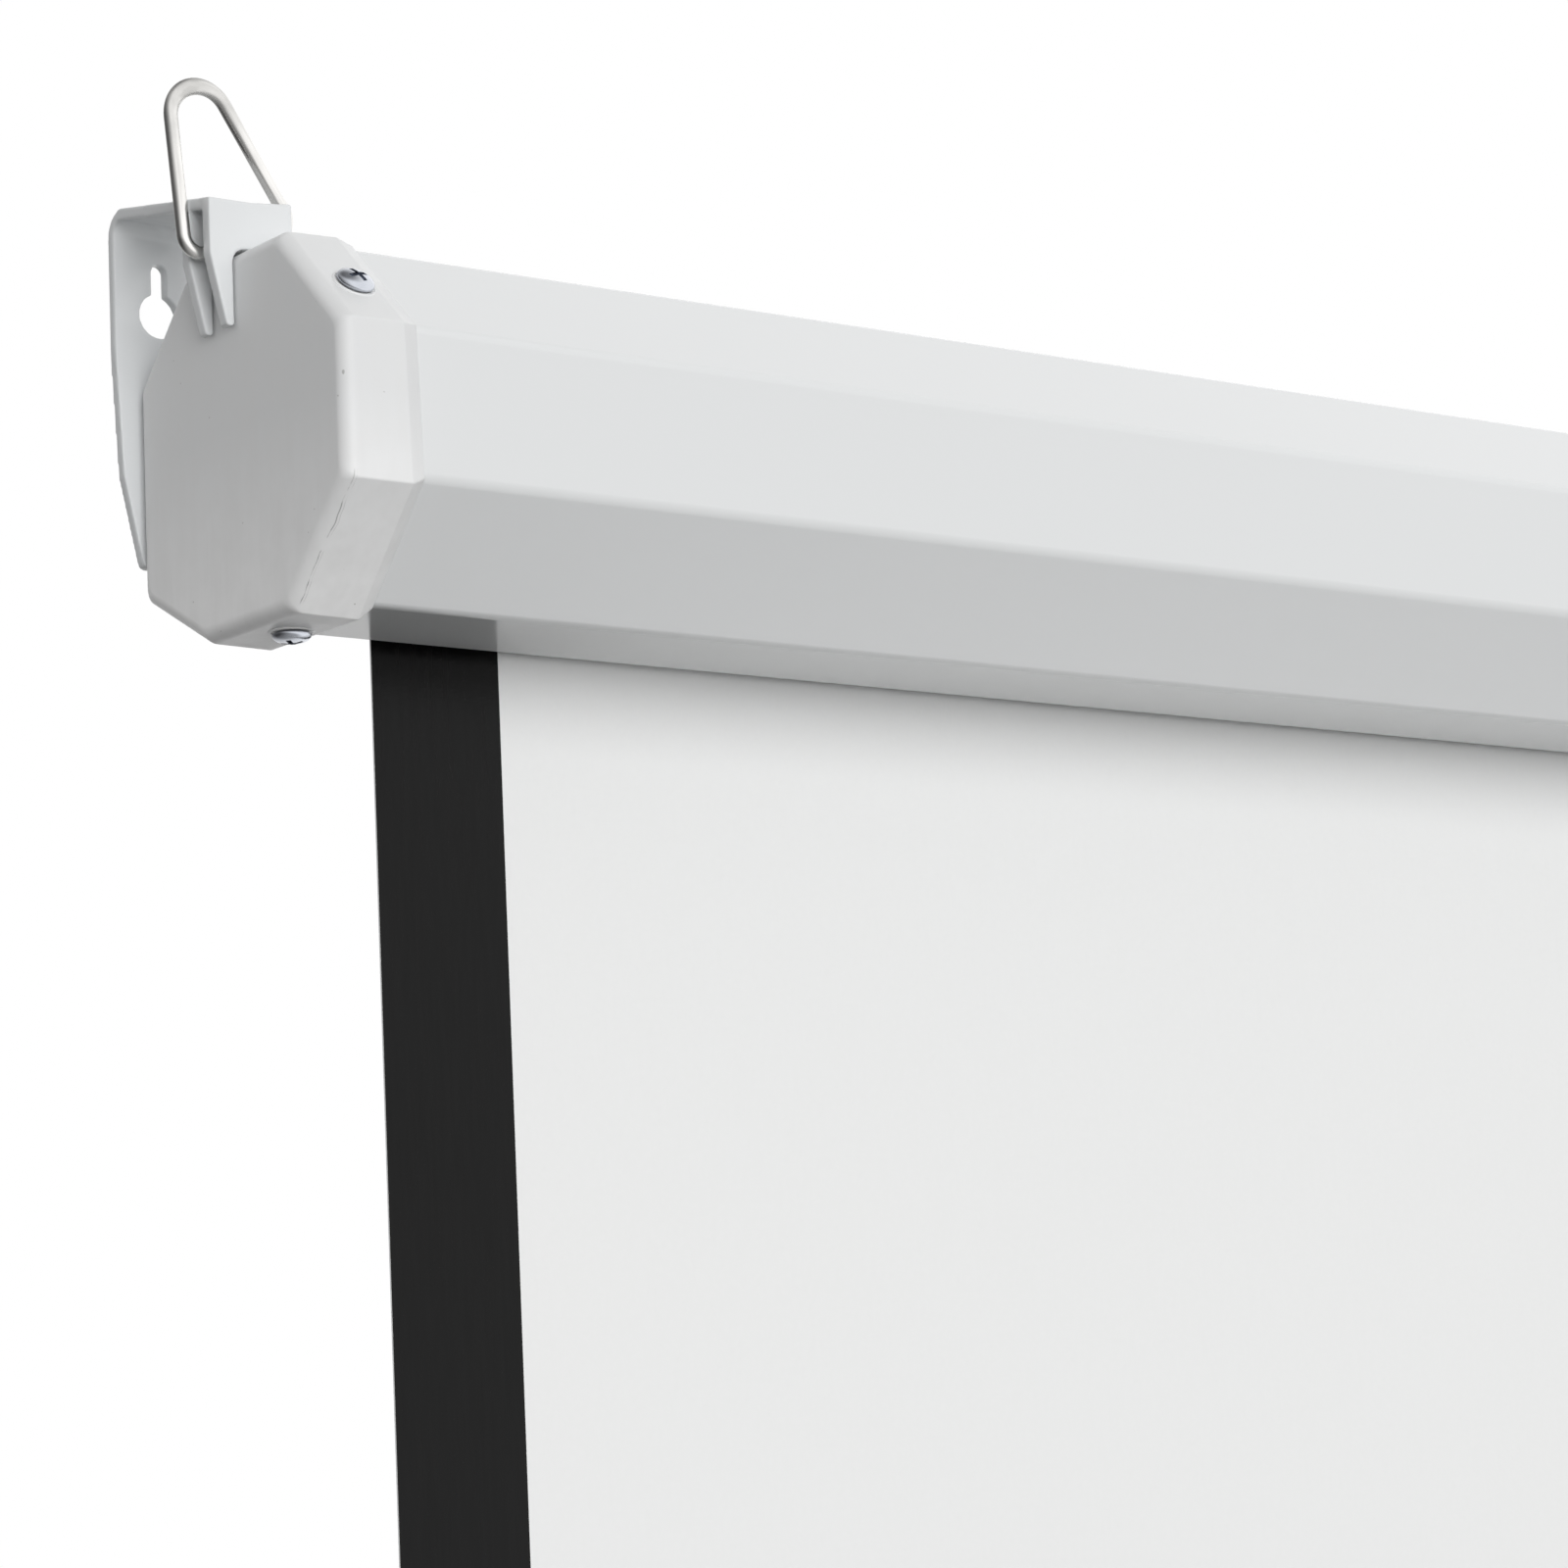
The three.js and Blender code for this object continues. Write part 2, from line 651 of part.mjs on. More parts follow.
for (const { side, place } of ends) {
  addPiece(`${side}_hanging_ring`, place(hangingRing()), nickel);
}

// Roller: idler end
const bushStart = capEndWall + seatGap;
const flangeSeat = hubEnd + seatGap;
const bushSection = [[bushStart, bushBore], [bushStart, bushRadius], [flangeSeat, bushRadius],
  [flangeSeat, bushFlangeRadius], [socketEnd, bushFlangeRadius], [socketEnd, bushBore],
  [bushStart, bushBore]];
addPiece('idler_bush', atLeftEnd(turnedX(bushSection, roundSides)), greyPlastic);

const idlerFlangeEnd = idlerPlugStart + plugFlange;
const idlerPlug = turnedX([[shaftStart, 0], [shaftStart, idlerPinRadius], [idlerPlugStart, idlerPinRadius],
  [idlerPlugStart, plugFlangeRadius], [idlerFlangeEnd, plugFlangeRadius], [idlerFlangeEnd, plugRadius],
  [idlerFlangeEnd + plugLength, plugRadius], [idlerFlangeEnd + plugLength, 0]], roundSides);
addPiece('idler_plug', atLeftEnd(idlerPlug), greyPlastic);

// Roller: tube and the turns of screen that always stay on it
const tubeStart = idlerFlangeEnd + seatGap - overallLength / 2;
const tubeEnd = overallLength / 2 - drivePlugStart - plugFlange - seatGap;
addPiece('roller_tube', ringX(tubeRadius - tubeWall, tubeRadius, tubeStart, tubeEnd, roundSides), steel);
const leader = ringX(tubeRadius + seatGap, leaderRadius, -clothWidth / 2, clothWidth / 2, roundSides);
addPiece('leader_wraps', leader, whiteCloth);

// Spring end: a fixed shaft with its socket, ratchet collar, spring and anchor
const [tangHalfWidth, tangHalfHeight] = [shaftTangWidth / 2, shaftTangHeight / 2];
const [slotHalfWidth, slotHalfHeight] = [tangHalfWidth + seatGap, tangHalfHeight + seatGap];
const socketOpen = socketEnd + cutOverrun;
const socketCut = boxAt(0, socketOpen, -slotHalfWidth, slotHalfWidth, -slotHalfHeight, slotHalfHeight);
const socketBody = turnedX([[bushStart, 0], [bushStart, bushRadius], [flangeSeat, bushRadius],
  [flangeSeat, bushFlangeRadius], [socketEnd, bushFlangeRadius], [socketEnd, 0]], roundSides);
addPiece('shaft_socket', atRightEnd(cut(socketBody, socketCut)), greyPlastic);

const tangEnd = shaftStart + shaftTangLength;
const tang = boxAt(shaftStart, tangEnd, -tangHalfWidth, tangHalfWidth, -tangHalfHeight, tangHalfHeight);
const rod = rodX(shaftRadius, socketEnd + seatGap, shaftEnd, smallSides);
addPiece('spring_shaft', atRightEnd(join(tang, rod)), steel);

const shaftBore = shaftRadius + seatGap;
function collarNotches() {
  const half = notchWidth / 2;
  const ends = [collarStart - cutOverrun, collarStart + collarLength + cutOverrun];
  return [boxAt(...ends, -half, half, collarRadius - notchDepth, collarRadius + cutOverrun),
    boxAt(...ends, -half, half, -collarRadius - cutOverrun, notchDepth - collarRadius)];
}
const collar = ringX(shaftBore, collarRadius, collarStart, collarStart + collarLength, roundSides);
addPiece('ratchet_collar', atRightEnd(cut(collar, ...collarNotches())), steel);
const spring = ringX(springBore, springRadius, springStart, springStart + springLength, smallSides);
addPiece('torsion_spring', atRightEnd(spring), steel);
const anchor = ringX(shaftBore, anchorRadius, anchorStart, anchorStart + anchorLength, smallSides);
addPiece('spring_anchor', atRightEnd(anchor), zinc);

// Drive plug, which turns on the shaft with the tube, and the guide that centres the shaft's far end
const turningBore = shaftRadius + runningGap;
const plugEnd = drivePlugStart + plugFlange + plugLength;
const flangeEnd = drivePlugStart + plugFlange;
const pinHole = rodX(pawlPinRadius + seatGap, drivePlugStart - cutOverrun, flangeEnd, smallSides)
  .translate(0, -pawlReach, pivotZ);
const drivePlug = turnedX([[drivePlugStart, turningBore], [drivePlugStart, plugFlangeRadius],
  [flangeEnd, plugFlangeRadius], [flangeEnd, plugRadius], [plugEnd, plugRadius],
  [plugEnd, turningBore], [drivePlugStart, turningBore]], roundSides);
addPiece('drive_plug', atRightEnd(cut(drivePlug, pinHole)), greyPlastic);
const guide = ringX(turningBore, plugRadius, guideStart, guideStart + guideLength, roundSides);
addPiece('shaft_guide', atRightEnd(guide), greyPlastic);

// Lock pawl and its pin
const pawlStart = drivePlugStart - seatGap - pawlThickness;
const leverBottom = pivotZ - pawlLeverLift;
const pawlOutline = [point(-pawlReach, leverBottom), point(-pawlNose / 2, leverBottom),
  point(-pawlNose / 2, leverBottom - pawlNoseDrop), point(pawlNose / 2, leverBottom - pawlNoseDrop),
  point(pawlNose / 2, leverBottom + pawlLever), point(-pawlReach, leverBottom + pawlLever)];
const pawlEnd = pawlStart + pawlThickness;
function onPivot(radius, x0, x1) {
  return rodX(radius, x0, x1, smallSides).translate(0, -pawlReach, pivotZ);
}
const pawlBoss = onPivot(pawlBossRadius, pawlStart, pawlEnd);
const pawlBore = onPivot(pawlPinRadius + seatGap, pawlStart - cutOverrun, pawlEnd + cutOverrun);
const pawl = cut(join(prismX(pawlOutline, pawlStart, pawlEnd), pawlBoss), pawlBore);
addPiece('lock_pawl', atRightEnd(pawl), steel);
const pawlPin = onPivot(pawlPinRadius, pawlStart - pawlPinHeadGap, flangeEnd - seatGap);
addPiece('pawl_pin', atRightEnd(pawlPin), steel);

// Screen cloth, from the roller down to the hem
const halfCloth = clothWidth / 2;
const clothBack = clothFront + clothThickness;
addPiece('screen_fabric', boxAt(-halfCloth, halfCloth, clothFront, clothBack, hemTop, 0), whiteCloth);

// Hem: the black bottom border, ending in a bead that the weight bar holds
const beadZ = barZ + barRadius - barWall - seatGap - hemBeadRadius;
const hemStrip = boxAt(-halfCloth, halfCloth, clothFront, clothBack, beadZ, hemTop - seatGap);
const hemBead = rodX(hemBeadRadius, -halfCloth, halfCloth, smallSides).translate(0, clothCentre, beadZ);
addPiece('fabric_hem', join(hemStrip, hemBead), blackCloth);

// Weight bar: a tube slit along its top, with a plug in each end
const halfBar = halfCloth + barOverhang;
const barSlitHalf = clothThickness / 2 + seatGap;
const barTube = ringX(barRadius - barWall, barRadius, -halfBar, halfBar, roundSides);
const barSlit = boxAt(-halfBar - cutOverrun, halfBar + cutOverrun, -barSlitHalf, barSlitHalf,
  0, barRadius + cutOverrun);
const saddleSeats = [-1, 1].map((sign) => (
  new THREE.Vector3(sign * saddleScrewSpacing / 2, clothCentre, footBottom - seatGap)
));
const downward = unitZ.clone().negate();
const saddleHoles = saddleSeats.map((seat) => shankHole(saddleScrew, downward, seat));
const slitTube = cut(barTube, barSlit).translate(0, clothCentre, barZ);
addPiece('weight_bar', cut(slitTube, ...saddleHoles), white);

const barPlugOuter = barRadius + barPlugProud;
const barPlugInner = barRadius - barWall - seatGap;
const barPlugBody = turnedX([[-barPlugWall, 0], [-barPlugWall, barPlugOuter - barPlugEase],
  [barPlugEase - barPlugWall, barPlugOuter], [0, barPlugOuter], [0, barPlugInner],
  [barPlugLength, barPlugInner], [barPlugLength, 0]], roundSides);
const barPlug = barPlugBody.translate(-seatGap, clothCentre, barZ);
addPiece('left_bar_plug', barPlug.clone().translate(-halfBar, 0, 0), capWhite);
addPiece('right_bar_plug', closed(barPlug.clone().scale(-1, 1, 1).translate(halfBar, 0, 0)), capWhite);

// Handle saddle: a clip round the underside of the bar, with two lugs for the handle
function saddle() {
  const half = saddleWidth / 2;
  const beyond = half + cutOverrun;
  const clip = ringX(saddleInner, saddleOuter, -half, half, roundSides);
  const openTop = boxAt(-beyond, beyond, -saddleOuter - cutOverrun, saddleOuter + cutOverrun,
    saddleWrap, saddleOuter + cutOverrun);
  const barRoom = rodX(saddleInner, -beyond, beyond, roundSides);
  const [footZ, pivot] = [footBottom - barZ, handlePivotZ - barZ];
  const foot = boxAt(-half, half, -saddleFootDepth / 2, saddleFootDepth / 2, footZ, 0);
  const lugs = [-half, half - lugWidth].flatMap((x) => [
    boxAt(x, x + lugWidth, -lugRadius, lugRadius, pivot, 0),
    rodX(lugRadius, x, x + lugWidth, smallSides).translate(0, 0, pivot),
  ]);
  const pinBore = rodX(handleWireRadius + runningGap, -beyond, beyond, smallSides).translate(0, 0, pivot);
  const body = cut(join(cut(clip, openTop), foot, ...lugs), barRoom, pinBore);
  return cut(body.translate(0, clothCentre, barZ), ...saddleHoles);
}

addPiece('handle_saddle', saddle(), capWhite);
saddleSeats.forEach((seat, k) => {
  addPiece(`${['left', 'right'][k]}_saddle_screw`, aimed(panScrew(saddleScrew), downward, seat), zinc);
});

// Handle: a wire bail with its ends turned in through the lugs, and a grip on its lower run
function handleWire() {
  const inner = saddleWidth / 2 - lugWidth - handleEndInset;
  const half = handleWidth / 2;
  const corners = [point(-inner, 0), point(-half, 0), point(-half, -handleDrop), point(half, -handleDrop),
    point(half, 0), point(inner, 0)];
  const bends = [2 * handleWireRadius, handleBend, handleBend, 2 * handleWireRadius];
  return wire(corners, bends, handleWireRadius, handleStep).translate(0, clothCentre, handlePivotZ);
}

function handleGrip() {
  const half = gripLength / 2;
  const bore = handleWireRadius + seatGap;
  const section = [[-half, bore], [-half, gripRadius - gripRounding], [gripRounding - half, gripRadius],
    [half - gripRounding, gripRadius], [half, gripRadius - gripRounding], [half, bore], [-half, bore]];
  return turnedX(section, roundSides).translate(0, clothCentre, handlePivotZ - handleDrop);
}

addPiece('pull_handle', handleWire(), nickel);
addPiece('handle_grip', handleGrip(), blackPlastic);

export default screen;
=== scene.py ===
# Pull-down projector screen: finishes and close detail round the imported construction. Lengths are metres.
import json
import math

import bmesh
import bpy
from mathutils import Matrix, Vector


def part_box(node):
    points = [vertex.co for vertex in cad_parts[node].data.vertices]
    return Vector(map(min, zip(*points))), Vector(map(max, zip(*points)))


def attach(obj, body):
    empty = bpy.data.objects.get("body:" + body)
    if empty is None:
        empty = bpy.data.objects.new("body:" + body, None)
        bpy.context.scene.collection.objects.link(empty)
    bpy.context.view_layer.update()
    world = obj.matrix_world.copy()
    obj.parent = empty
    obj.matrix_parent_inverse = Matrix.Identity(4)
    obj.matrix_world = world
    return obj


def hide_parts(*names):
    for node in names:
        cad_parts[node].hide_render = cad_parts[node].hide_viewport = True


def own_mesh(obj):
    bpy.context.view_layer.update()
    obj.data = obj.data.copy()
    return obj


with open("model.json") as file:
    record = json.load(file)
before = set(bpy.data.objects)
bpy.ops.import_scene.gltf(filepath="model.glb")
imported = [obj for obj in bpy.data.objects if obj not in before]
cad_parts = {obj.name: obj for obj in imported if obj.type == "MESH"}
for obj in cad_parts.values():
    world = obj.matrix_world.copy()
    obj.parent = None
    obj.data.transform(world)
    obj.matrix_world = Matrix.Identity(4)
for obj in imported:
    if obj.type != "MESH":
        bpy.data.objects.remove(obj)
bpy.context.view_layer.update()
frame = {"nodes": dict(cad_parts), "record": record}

MM = 0.001
CASE, ROLLER, SCREEN, HANDLE = "case", "roller", "screen", "handle"
SIDES = ("left", "right")
X_AXIS, Y_AXIS = Vector((1, 0, 0)), Vector((0, 1, 0))

# Places read from the construction
cap_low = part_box("left_end_cap")[0]
case_low, case_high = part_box("housing_shell")
tube_low, tube_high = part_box("roller_tube")
turns_low, turns_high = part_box("leader_wraps")
cloth_low, cloth_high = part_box("screen_fabric")
hem_low, hem_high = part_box("fabric_hem")
bar_low, bar_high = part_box("weight_bar")
plug_low, plug_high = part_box("left_bar_plug")
handle_low, handle_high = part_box("pull_handle")
grip_low, grip_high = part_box("handle_grip")
END_X = cap_low.x
AXIS_Y = (tube_low.y + tube_high.y) / 2
CLOTH_Y = (cloth_low.y + cloth_high.y) / 2
CLOTH_THICKNESS = cloth_high.y - cloth_low.y
BAR_RADIUS = (bar_high.y - bar_low.y) / 2
BAR_Z = bar_low.z + BAR_RADIUS

# Camera: where the photograph was taken from, measured from the left cap's end face on the roller's axis
CAMERA_FROM_END = Vector((-459.6, -771.4, -220.3)) * MM
CAMERA_AZIMUTH = math.radians(37.226)
CAMERA_PITCH = math.radians(9.398)
CAMERA_ROLL = math.radians(-2.644)
CAMERA_LENS = 110.12
CAMERA_SENSOR = 36
CAMERA_NEAREST = 0.05
CAMERA_FURTHEST = 50

# Lamps: where each one's light comes from, its strength, and how wide it looks in degrees
LAMPS = {
    "front_light": (Vector((-0.2, -0.972, 0.12)), 1.97, 48),
    "rear_light": (Vector((0.35, 0.85, 0.35)), 1.4, 40),
    "side_light": (Vector((-0.6, 0.78, 0.18)), 0.3, 40),
}

# Dome of light: its strength at the horizon, its share of that overhead, and how it fades out below
DOME_LIGHT = 0.36
DOME_TOP = 1.25
DOME_FADE = 0.9

# The room that mirrors see: its lean to the right, its strengths, and where they change
ROOM_TURN = 0.8
ROOM_TILT = 0.6
ROOM_IN_FRONT = 1.35
ROOM_BEHIND = 0.12
ROOM_BELOW = 0.4
ROOM_ABOVE = 0.2
FRONT_TO_BEHIND = (-0.2, 1.15)
LOW_BAND = (-0.8, -0.45)
HIGH_BAND = (0.8, 0.97)

# Floor
FLOOR_Z = -2.1
FLOOR_HALF = 9
FLOOR_GLOW = 0.55

# Case
CASE_FRONT_CHAMFER = 20.5 * MM
CASE_REAR_CHAMFER = 17.7 * MM
CASE_REAR_RISE = 11.6 * MM
CASE_SHEET = 1 * MM
CASE_BEND = 1.3 * MM
SLOT_WIDTH = 8 * MM
SLOT_LEAD = 4.75 * MM
FLAT_PAST_SLOT_FRONT = 1.9 * MM
SLOT_FRONT_LIP = 5 * MM
SLOT_REAR_LIP = 4 * MM
SLOT_FRONT = CLOTH_Y - CLOTH_THICKNESS / 2 - SLOT_LEAD

# End caps
CAP_PROUD = 2.3 * MM
CAP_DROP = 0.8 * MM
CAP_DRAFT = 0.3 * MM
CAP_SKIRT = 14.1 * MM
CAP_RIM = 3.9 * MM
CAP_RIM_PROUD = 0.45 * MM
CAP_RIM_LEAN = 0.027
CAP_POCKET_GAP = 0.1 * MM
CAP_END_WALL = 2.5 * MM
CAP_EDGE = 3 * MM
CAP_FACE_CORNER = 3.4 * MM
CAP_SKIRT_CORNER = 0.75 * MM
CAP_CREASE = 0.25 * MM
CAP_EDGE_STEPS = 8
CREASE_DIP = 0.25
RIM_ROUNDING = 0.3

# Cap screws
FRONT_SCREW_INSET = 8.7 * MM
BOTTOM_SCREW_INSET = 9.7 * MM
SCREW_DROP = 2.7 * MM
SCREW_HEAD = 3.8 * MM
SCREW_RISE = 2 * MM
SCREW_SKIRT = 0.45 * MM
SCREW_EASE = 0.25 * MM
SCREW_SHANK = 1.6 * MM
SCREW_LENGTH = 8 * MM
SCREW_GAP = 0.3 * MM
HEAD_STEPS = 12
RECESS_REACH = 2.15 * MM
RECESS_WIDTH = 1 * MM
RECESS_DEPTH = 1.3 * MM
RECESS_TURNS = {"front": math.radians(20), "bottom": math.radians(50)}
SEAT_OUTER = 4.5 * MM
SEAT_RISE = 0.22 * MM
SEAT_SUNK = 0.2 * MM
SEAT_GAP = 0.15 * MM
SEAT_EASE = 0.12 * MM

# Scuffed line down the left cap's lower front edge
SCUFF_X = END_X + 1.7 * MM
SCUFF_STEP = 0.5 * MM
SCUFF_WANDER = 0.4 * MM
SCUFF_HALF = 0.14 * MM
FAINT_SCUFF_HALF = 0.1 * MM
SCUFF_Z = -25.5 * MM
SCUFF_REACH = 11 * MM
SCUFF_FRONT = AXIS_Y - 17 * MM

# Wall brackets: the even skin's cell, and how many times it is smoothed
BRACKET_CELL = 0.3 * MM
BRACKET_PASSES = 7

# Hanging rings
RING_WIRE = 1.38 * MM
RING_BAR = 26 * MM
RING_APEX = 52.4 * MM
RING_APEX_BEND = 6.5 * MM
RING_CORNER_BEND = 3.5 * MM
RING_LEAN = math.radians(19.2)
RING_BUTT_GAP = 0.5 * MM
RING_CENTRE_INBOARD = 4.7 * MM
RING_CENTRE_Z = 39.45 * MM
RING_FLAT = 0.25
RING_FLAT_REACH = 10 * MM
RING_APEX_STEPS = 24

# Cloth, its bottom border and its turns on the roller
SIDE_BORDER = 30 * MM
CLOTH_CELL = 40 * MM
HEM_BEAD = 2.2 * MM
HEM_WELD = 9 * MM
WELD_PROUD = 0.05 * MM
WELD_HALF = 0.3 * MM
TURNS_EASE = 0.25 * MM
TURNS_GAP = 0.3 * MM

# Weight bar and its plugs
BAR_WALL = 1.2 * MM
BAR_SLIT_HALF = 0.525 * MM
PLUG_WALL = 2.5 * MM
PLUG_GAP = 0.3 * MM
PLUG_EASE = 1 * MM
DISH_SHARE = 0.62
DISH_DEPTH = 0.35 * MM
DISH_SLOPE_HALF = 0.5 * MM

# Handle
HANDLE_WIRE = 2 * MM
HANDLE_BEND = 8 * MM
HANDLE_END_REACH = 22.5 * MM
HANDLE_FACETS = 28
GRIP_BORE = 2.3 * MM
GRIP_GROOVES = 4
GROOVE_DEPTH = 0.5 * MM
GRIP_END_REACH = 0.32
GRIP_END_DIP = 0.35
GRIP_STEPS = 96
SADDLE_EASE = 0.45 * MM

# Meshes
MERGE = 0.001 * MM
FACET_MERGE = 0.005 * MM
ON_FACE = 0.01 * MM
FACET_ANGLE = math.radians(0.5)
EASED_ANGLE = math.radians(25)
SHARP_ANGLE = math.radians(35)
SADDLE_SHARP_ANGLE = math.radians(50)
EDGE_SEGMENTS = 6
FINE_SEGMENTS = 3
WIRE_FACETS = 32
BEND_STEPS = 12
ROUND = 64
SMALL_ROUND = 48


# Nodes

class Wiring:
    """Short ways to add nodes to the tree of a material or of the world."""

    def __init__(self, tree):
        self.nodes = tree.nodes
        self.links = tree.links

    def feed(self, socket, value):
        """Sets a number on the socket itself, and links anything else to it."""
        if isinstance(value, (int, float)):
            socket.default_value = value
        else:
            self.links.new(value, socket)

    def range(self, value, low, high, to_low, to_high):
        node = self.nodes.new("ShaderNodeMapRange")
        limits = {"From Min": low, "From Max": high, "To Min": to_low, "To Max": to_high}
        for socket, number in limits.items():
            node.inputs[socket].default_value = number
        self.links.new(value, node.inputs["Value"])
        return node.outputs["Result"]

    def maths(self, operation, *values):
        node = self.nodes.new("ShaderNodeMath")
        node.operation = operation
        for socket, value in zip(node.inputs, values):
            self.feed(socket, value)
        return node.outputs[0]


# Room and camera

def soft_sun(name, comes_from, strength, width):
    light = bpy.data.lights.new(name, "SUN")
    light.energy = strength
    light.angle = math.radians(width)
    lamp = bpy.data.objects.new(name, light)
    lamp.rotation_mode = "QUATERNION"
    lamp.rotation_quaternion = (-comes_from).to_track_quat("-Z", "Y")
    lamp.visible_glossy = False
    bpy.context.scene.collection.objects.link(lamp)


def white_room():
    """White for the camera, a soft dome that fades out below, and what mirrors see in place of the lamps.

    Mirrors see a room that is brightest in front and to the right. It is dark overhead and behind, and low on
    the left.
    """
    world = bpy.data.worlds.new("studio")
    bpy.context.scene.world = world
    world.use_nodes = True
    studio = Wiring(world.node_tree)
    nodes, links = studio.nodes, studio.links
    nodes.clear()
    split = nodes.new("ShaderNodeSeparateXYZ")
    links.new(nodes.new("ShaderNodeTexCoord").outputs["Generated"], split.inputs[0])
    path = nodes.new("ShaderNodeLightPath")

    def background(strength):
        node = nodes.new("ShaderNodeBackground")
        node.inputs["Color"].default_value = (1, 1, 1, 1)
        studio.feed(node.inputs["Strength"], strength)
        return node.outputs[0]

    def chosen(ray, otherwise, seen):
        """What this kind of ray sees, and what the others see."""
        node = nodes.new("ShaderNodeMixShader")
        links.new(path.outputs[ray], node.inputs["Fac"])
        links.new(otherwise, node.inputs[1])
        links.new(seen, node.inputs[2])
        return node.outputs[0]

    up, right = split.outputs["Z"], split.outputs["X"]
    behind = studio.maths("SUBTRACT", studio.maths("MULTIPLY", split.outputs["Y"], ROOM_TURN), right)
    tilted = studio.maths("ADD", up, studio.maths("MULTIPLY", right, ROOM_TILT))
    below = studio.maths("POWER", studio.range(up, -1, 0, 0, 1), DOME_FADE)
    dome = studio.maths("MULTIPLY", below, studio.range(up, 0, 1, DOME_LIGHT, DOME_LIGHT * DOME_TOP))
    foot = studio.range(tilted, *LOW_BAND, ROOM_BELOW, 1)
    height = studio.maths("MULTIPLY", foot, studio.range(up, *HIGH_BAND, 1, ROOM_ABOVE))
    sides = studio.range(behind, *FRONT_TO_BEHIND, ROOM_IN_FRONT, ROOM_BEHIND)
    room = studio.maths("MULTIPLY", sides, height)
    shown = chosen("Is Glossy Ray", background(dome), background(room))
    shown = chosen("Is Transmission Ray", shown, background(1))
    shown = chosen("Is Camera Ray", shown, background(1))
    links.new(shown, nodes.new("ShaderNodeOutputWorld").inputs["Surface"])


def floor():
    """A pale floor under the object. It sends no light back up at it."""
    bm = bmesh.new()
    bmesh.ops.create_grid(bm, x_segments=1, y_segments=1, size=FLOOR_HALF)
    bmesh.ops.translate(bm, vec=(0, 0, FLOOR_Z), verts=bm.verts)
    mesh = bpy.data.meshes.new("floor")
    bm.to_mesh(mesh)
    bm.free()
    plane = bpy.data.objects.new("floor", mesh)
    plane.visible_diffuse = False
    plane.visible_glossy = False
    plane.visible_shadow = False
    mesh.materials.append(floor_finish())
    bpy.context.scene.collection.objects.link(plane)


def camera():
    data = bpy.data.cameras.new("camera")
    data.lens = CAMERA_LENS
    data.sensor_width = CAMERA_SENSOR
    data.clip_start = CAMERA_NEAREST
    data.clip_end = CAMERA_FURTHEST
    cam = bpy.data.objects.new("camera", data)
    turn = Matrix.Rotation(-CAMERA_AZIMUTH, 4, "Z") @ Matrix.Rotation(math.pi / 2 + CAMERA_PITCH, 4, "X")
    turn = turn @ Matrix.Rotation(CAMERA_ROLL, 4, "Z")
    cam.matrix_world = Matrix.Translation(Vector((END_X, AXIS_Y, 0)) + CAMERA_FROM_END) @ turn
    bpy.context.scene.collection.objects.link(cam)
    bpy.context.scene.camera = cam


# Finishes

class Finish(Wiring):
    """A material with a Principled shader, and short ways to give it texture."""

    def __init__(self, name, colour, roughness, metallic=0.0, specular=0.5):
        self.material = bpy.data.materials.new(name)
        self.material.use_nodes = True
        super().__init__(self.material.node_tree)
        self.shader = self.nodes["Principled BSDF"]
        self.shader.inputs["Base Color"].default_value = (*colour, 1)
        self.shader.inputs["Roughness"].default_value = roughness
        self.shader.inputs["Metallic"].default_value = metallic
        self.shader.inputs["Specular IOR Level"].default_value = specular
        self.place = self.nodes.new("ShaderNodeTexCoord").outputs["Object"]

    def along(self, attribute):
        """Patterns follow a place kept on the mesh from here on, in place of the object's own axes."""
        node = self.nodes.new("ShaderNodeAttribute")
        node.attribute_name = attribute
        self.place = node.outputs["Vector"]

    def axis(self, letter):
        split = self.nodes.new("ShaderNodeSeparateXYZ")
        self.links.new(self.place, split.inputs[0])
        return split.outputs[letter]

    def noise(self, size, detail=2.0, stretch=(1, 1, 1)):
        """Noise whose blobs are about size metres across, longer along an axis with a larger stretch."""
        mapping = self.nodes.new("ShaderNodeMapping")
        mapping.inputs["Scale"].default_value = [1 / (size * s) for s in stretch]
        self.links.new(self.place, mapping.inputs["Vector"])
        texture = self.nodes.new("ShaderNodeTexNoise")
        texture.inputs["Scale"].default_value = 1
        texture.inputs["Detail"].default_value = detail
        self.links.new(mapping.outputs[0], texture.inputs["Vector"])
        return texture.outputs["Fac"]

    def near(self, value, centre, reach):
        """One where the value is at the centre, falling to zero at reach from it."""
        away = self.maths("ABSOLUTE", self.maths("SUBTRACT", value, centre))
        return self.range(away, 0, reach, 1, 0)

    def mix(self, share, first, second):
        """Blends two colours, or a colour output and a colour, by a share."""
        node = self.nodes.new("ShaderNodeMix")
        node.data_type = "RGBA"
        self.links.new(share, node.inputs["Factor"])
        for socket, colour in ((node.inputs[6], first), (node.inputs[7], second)):
            if isinstance(colour, tuple):
                socket.default_value = (*colour, 1)
            else:
                self.links.new(colour, socket)
        return node.outputs[2]

    def colour(self, value):
        self.links.new(value, self.shader.inputs["Base Color"])

    def roughness(self, value):
        self.links.new(value, self.shader.inputs["Roughness"])

    def bump(self, height, distance, strength=1.0):
        node = self.nodes.new("ShaderNodeBump")
        node.inputs["Strength"].default_value = strength
        node.inputs["Distance"].default_value = distance
        self.links.new(height, node.inputs["Height"])
        previous = self.shader.inputs["Normal"]
        if previous.is_linked:
            self.links.new(previous.links[0].from_socket, node.inputs["Normal"])
        self.links.new(node.outputs[0], previous)


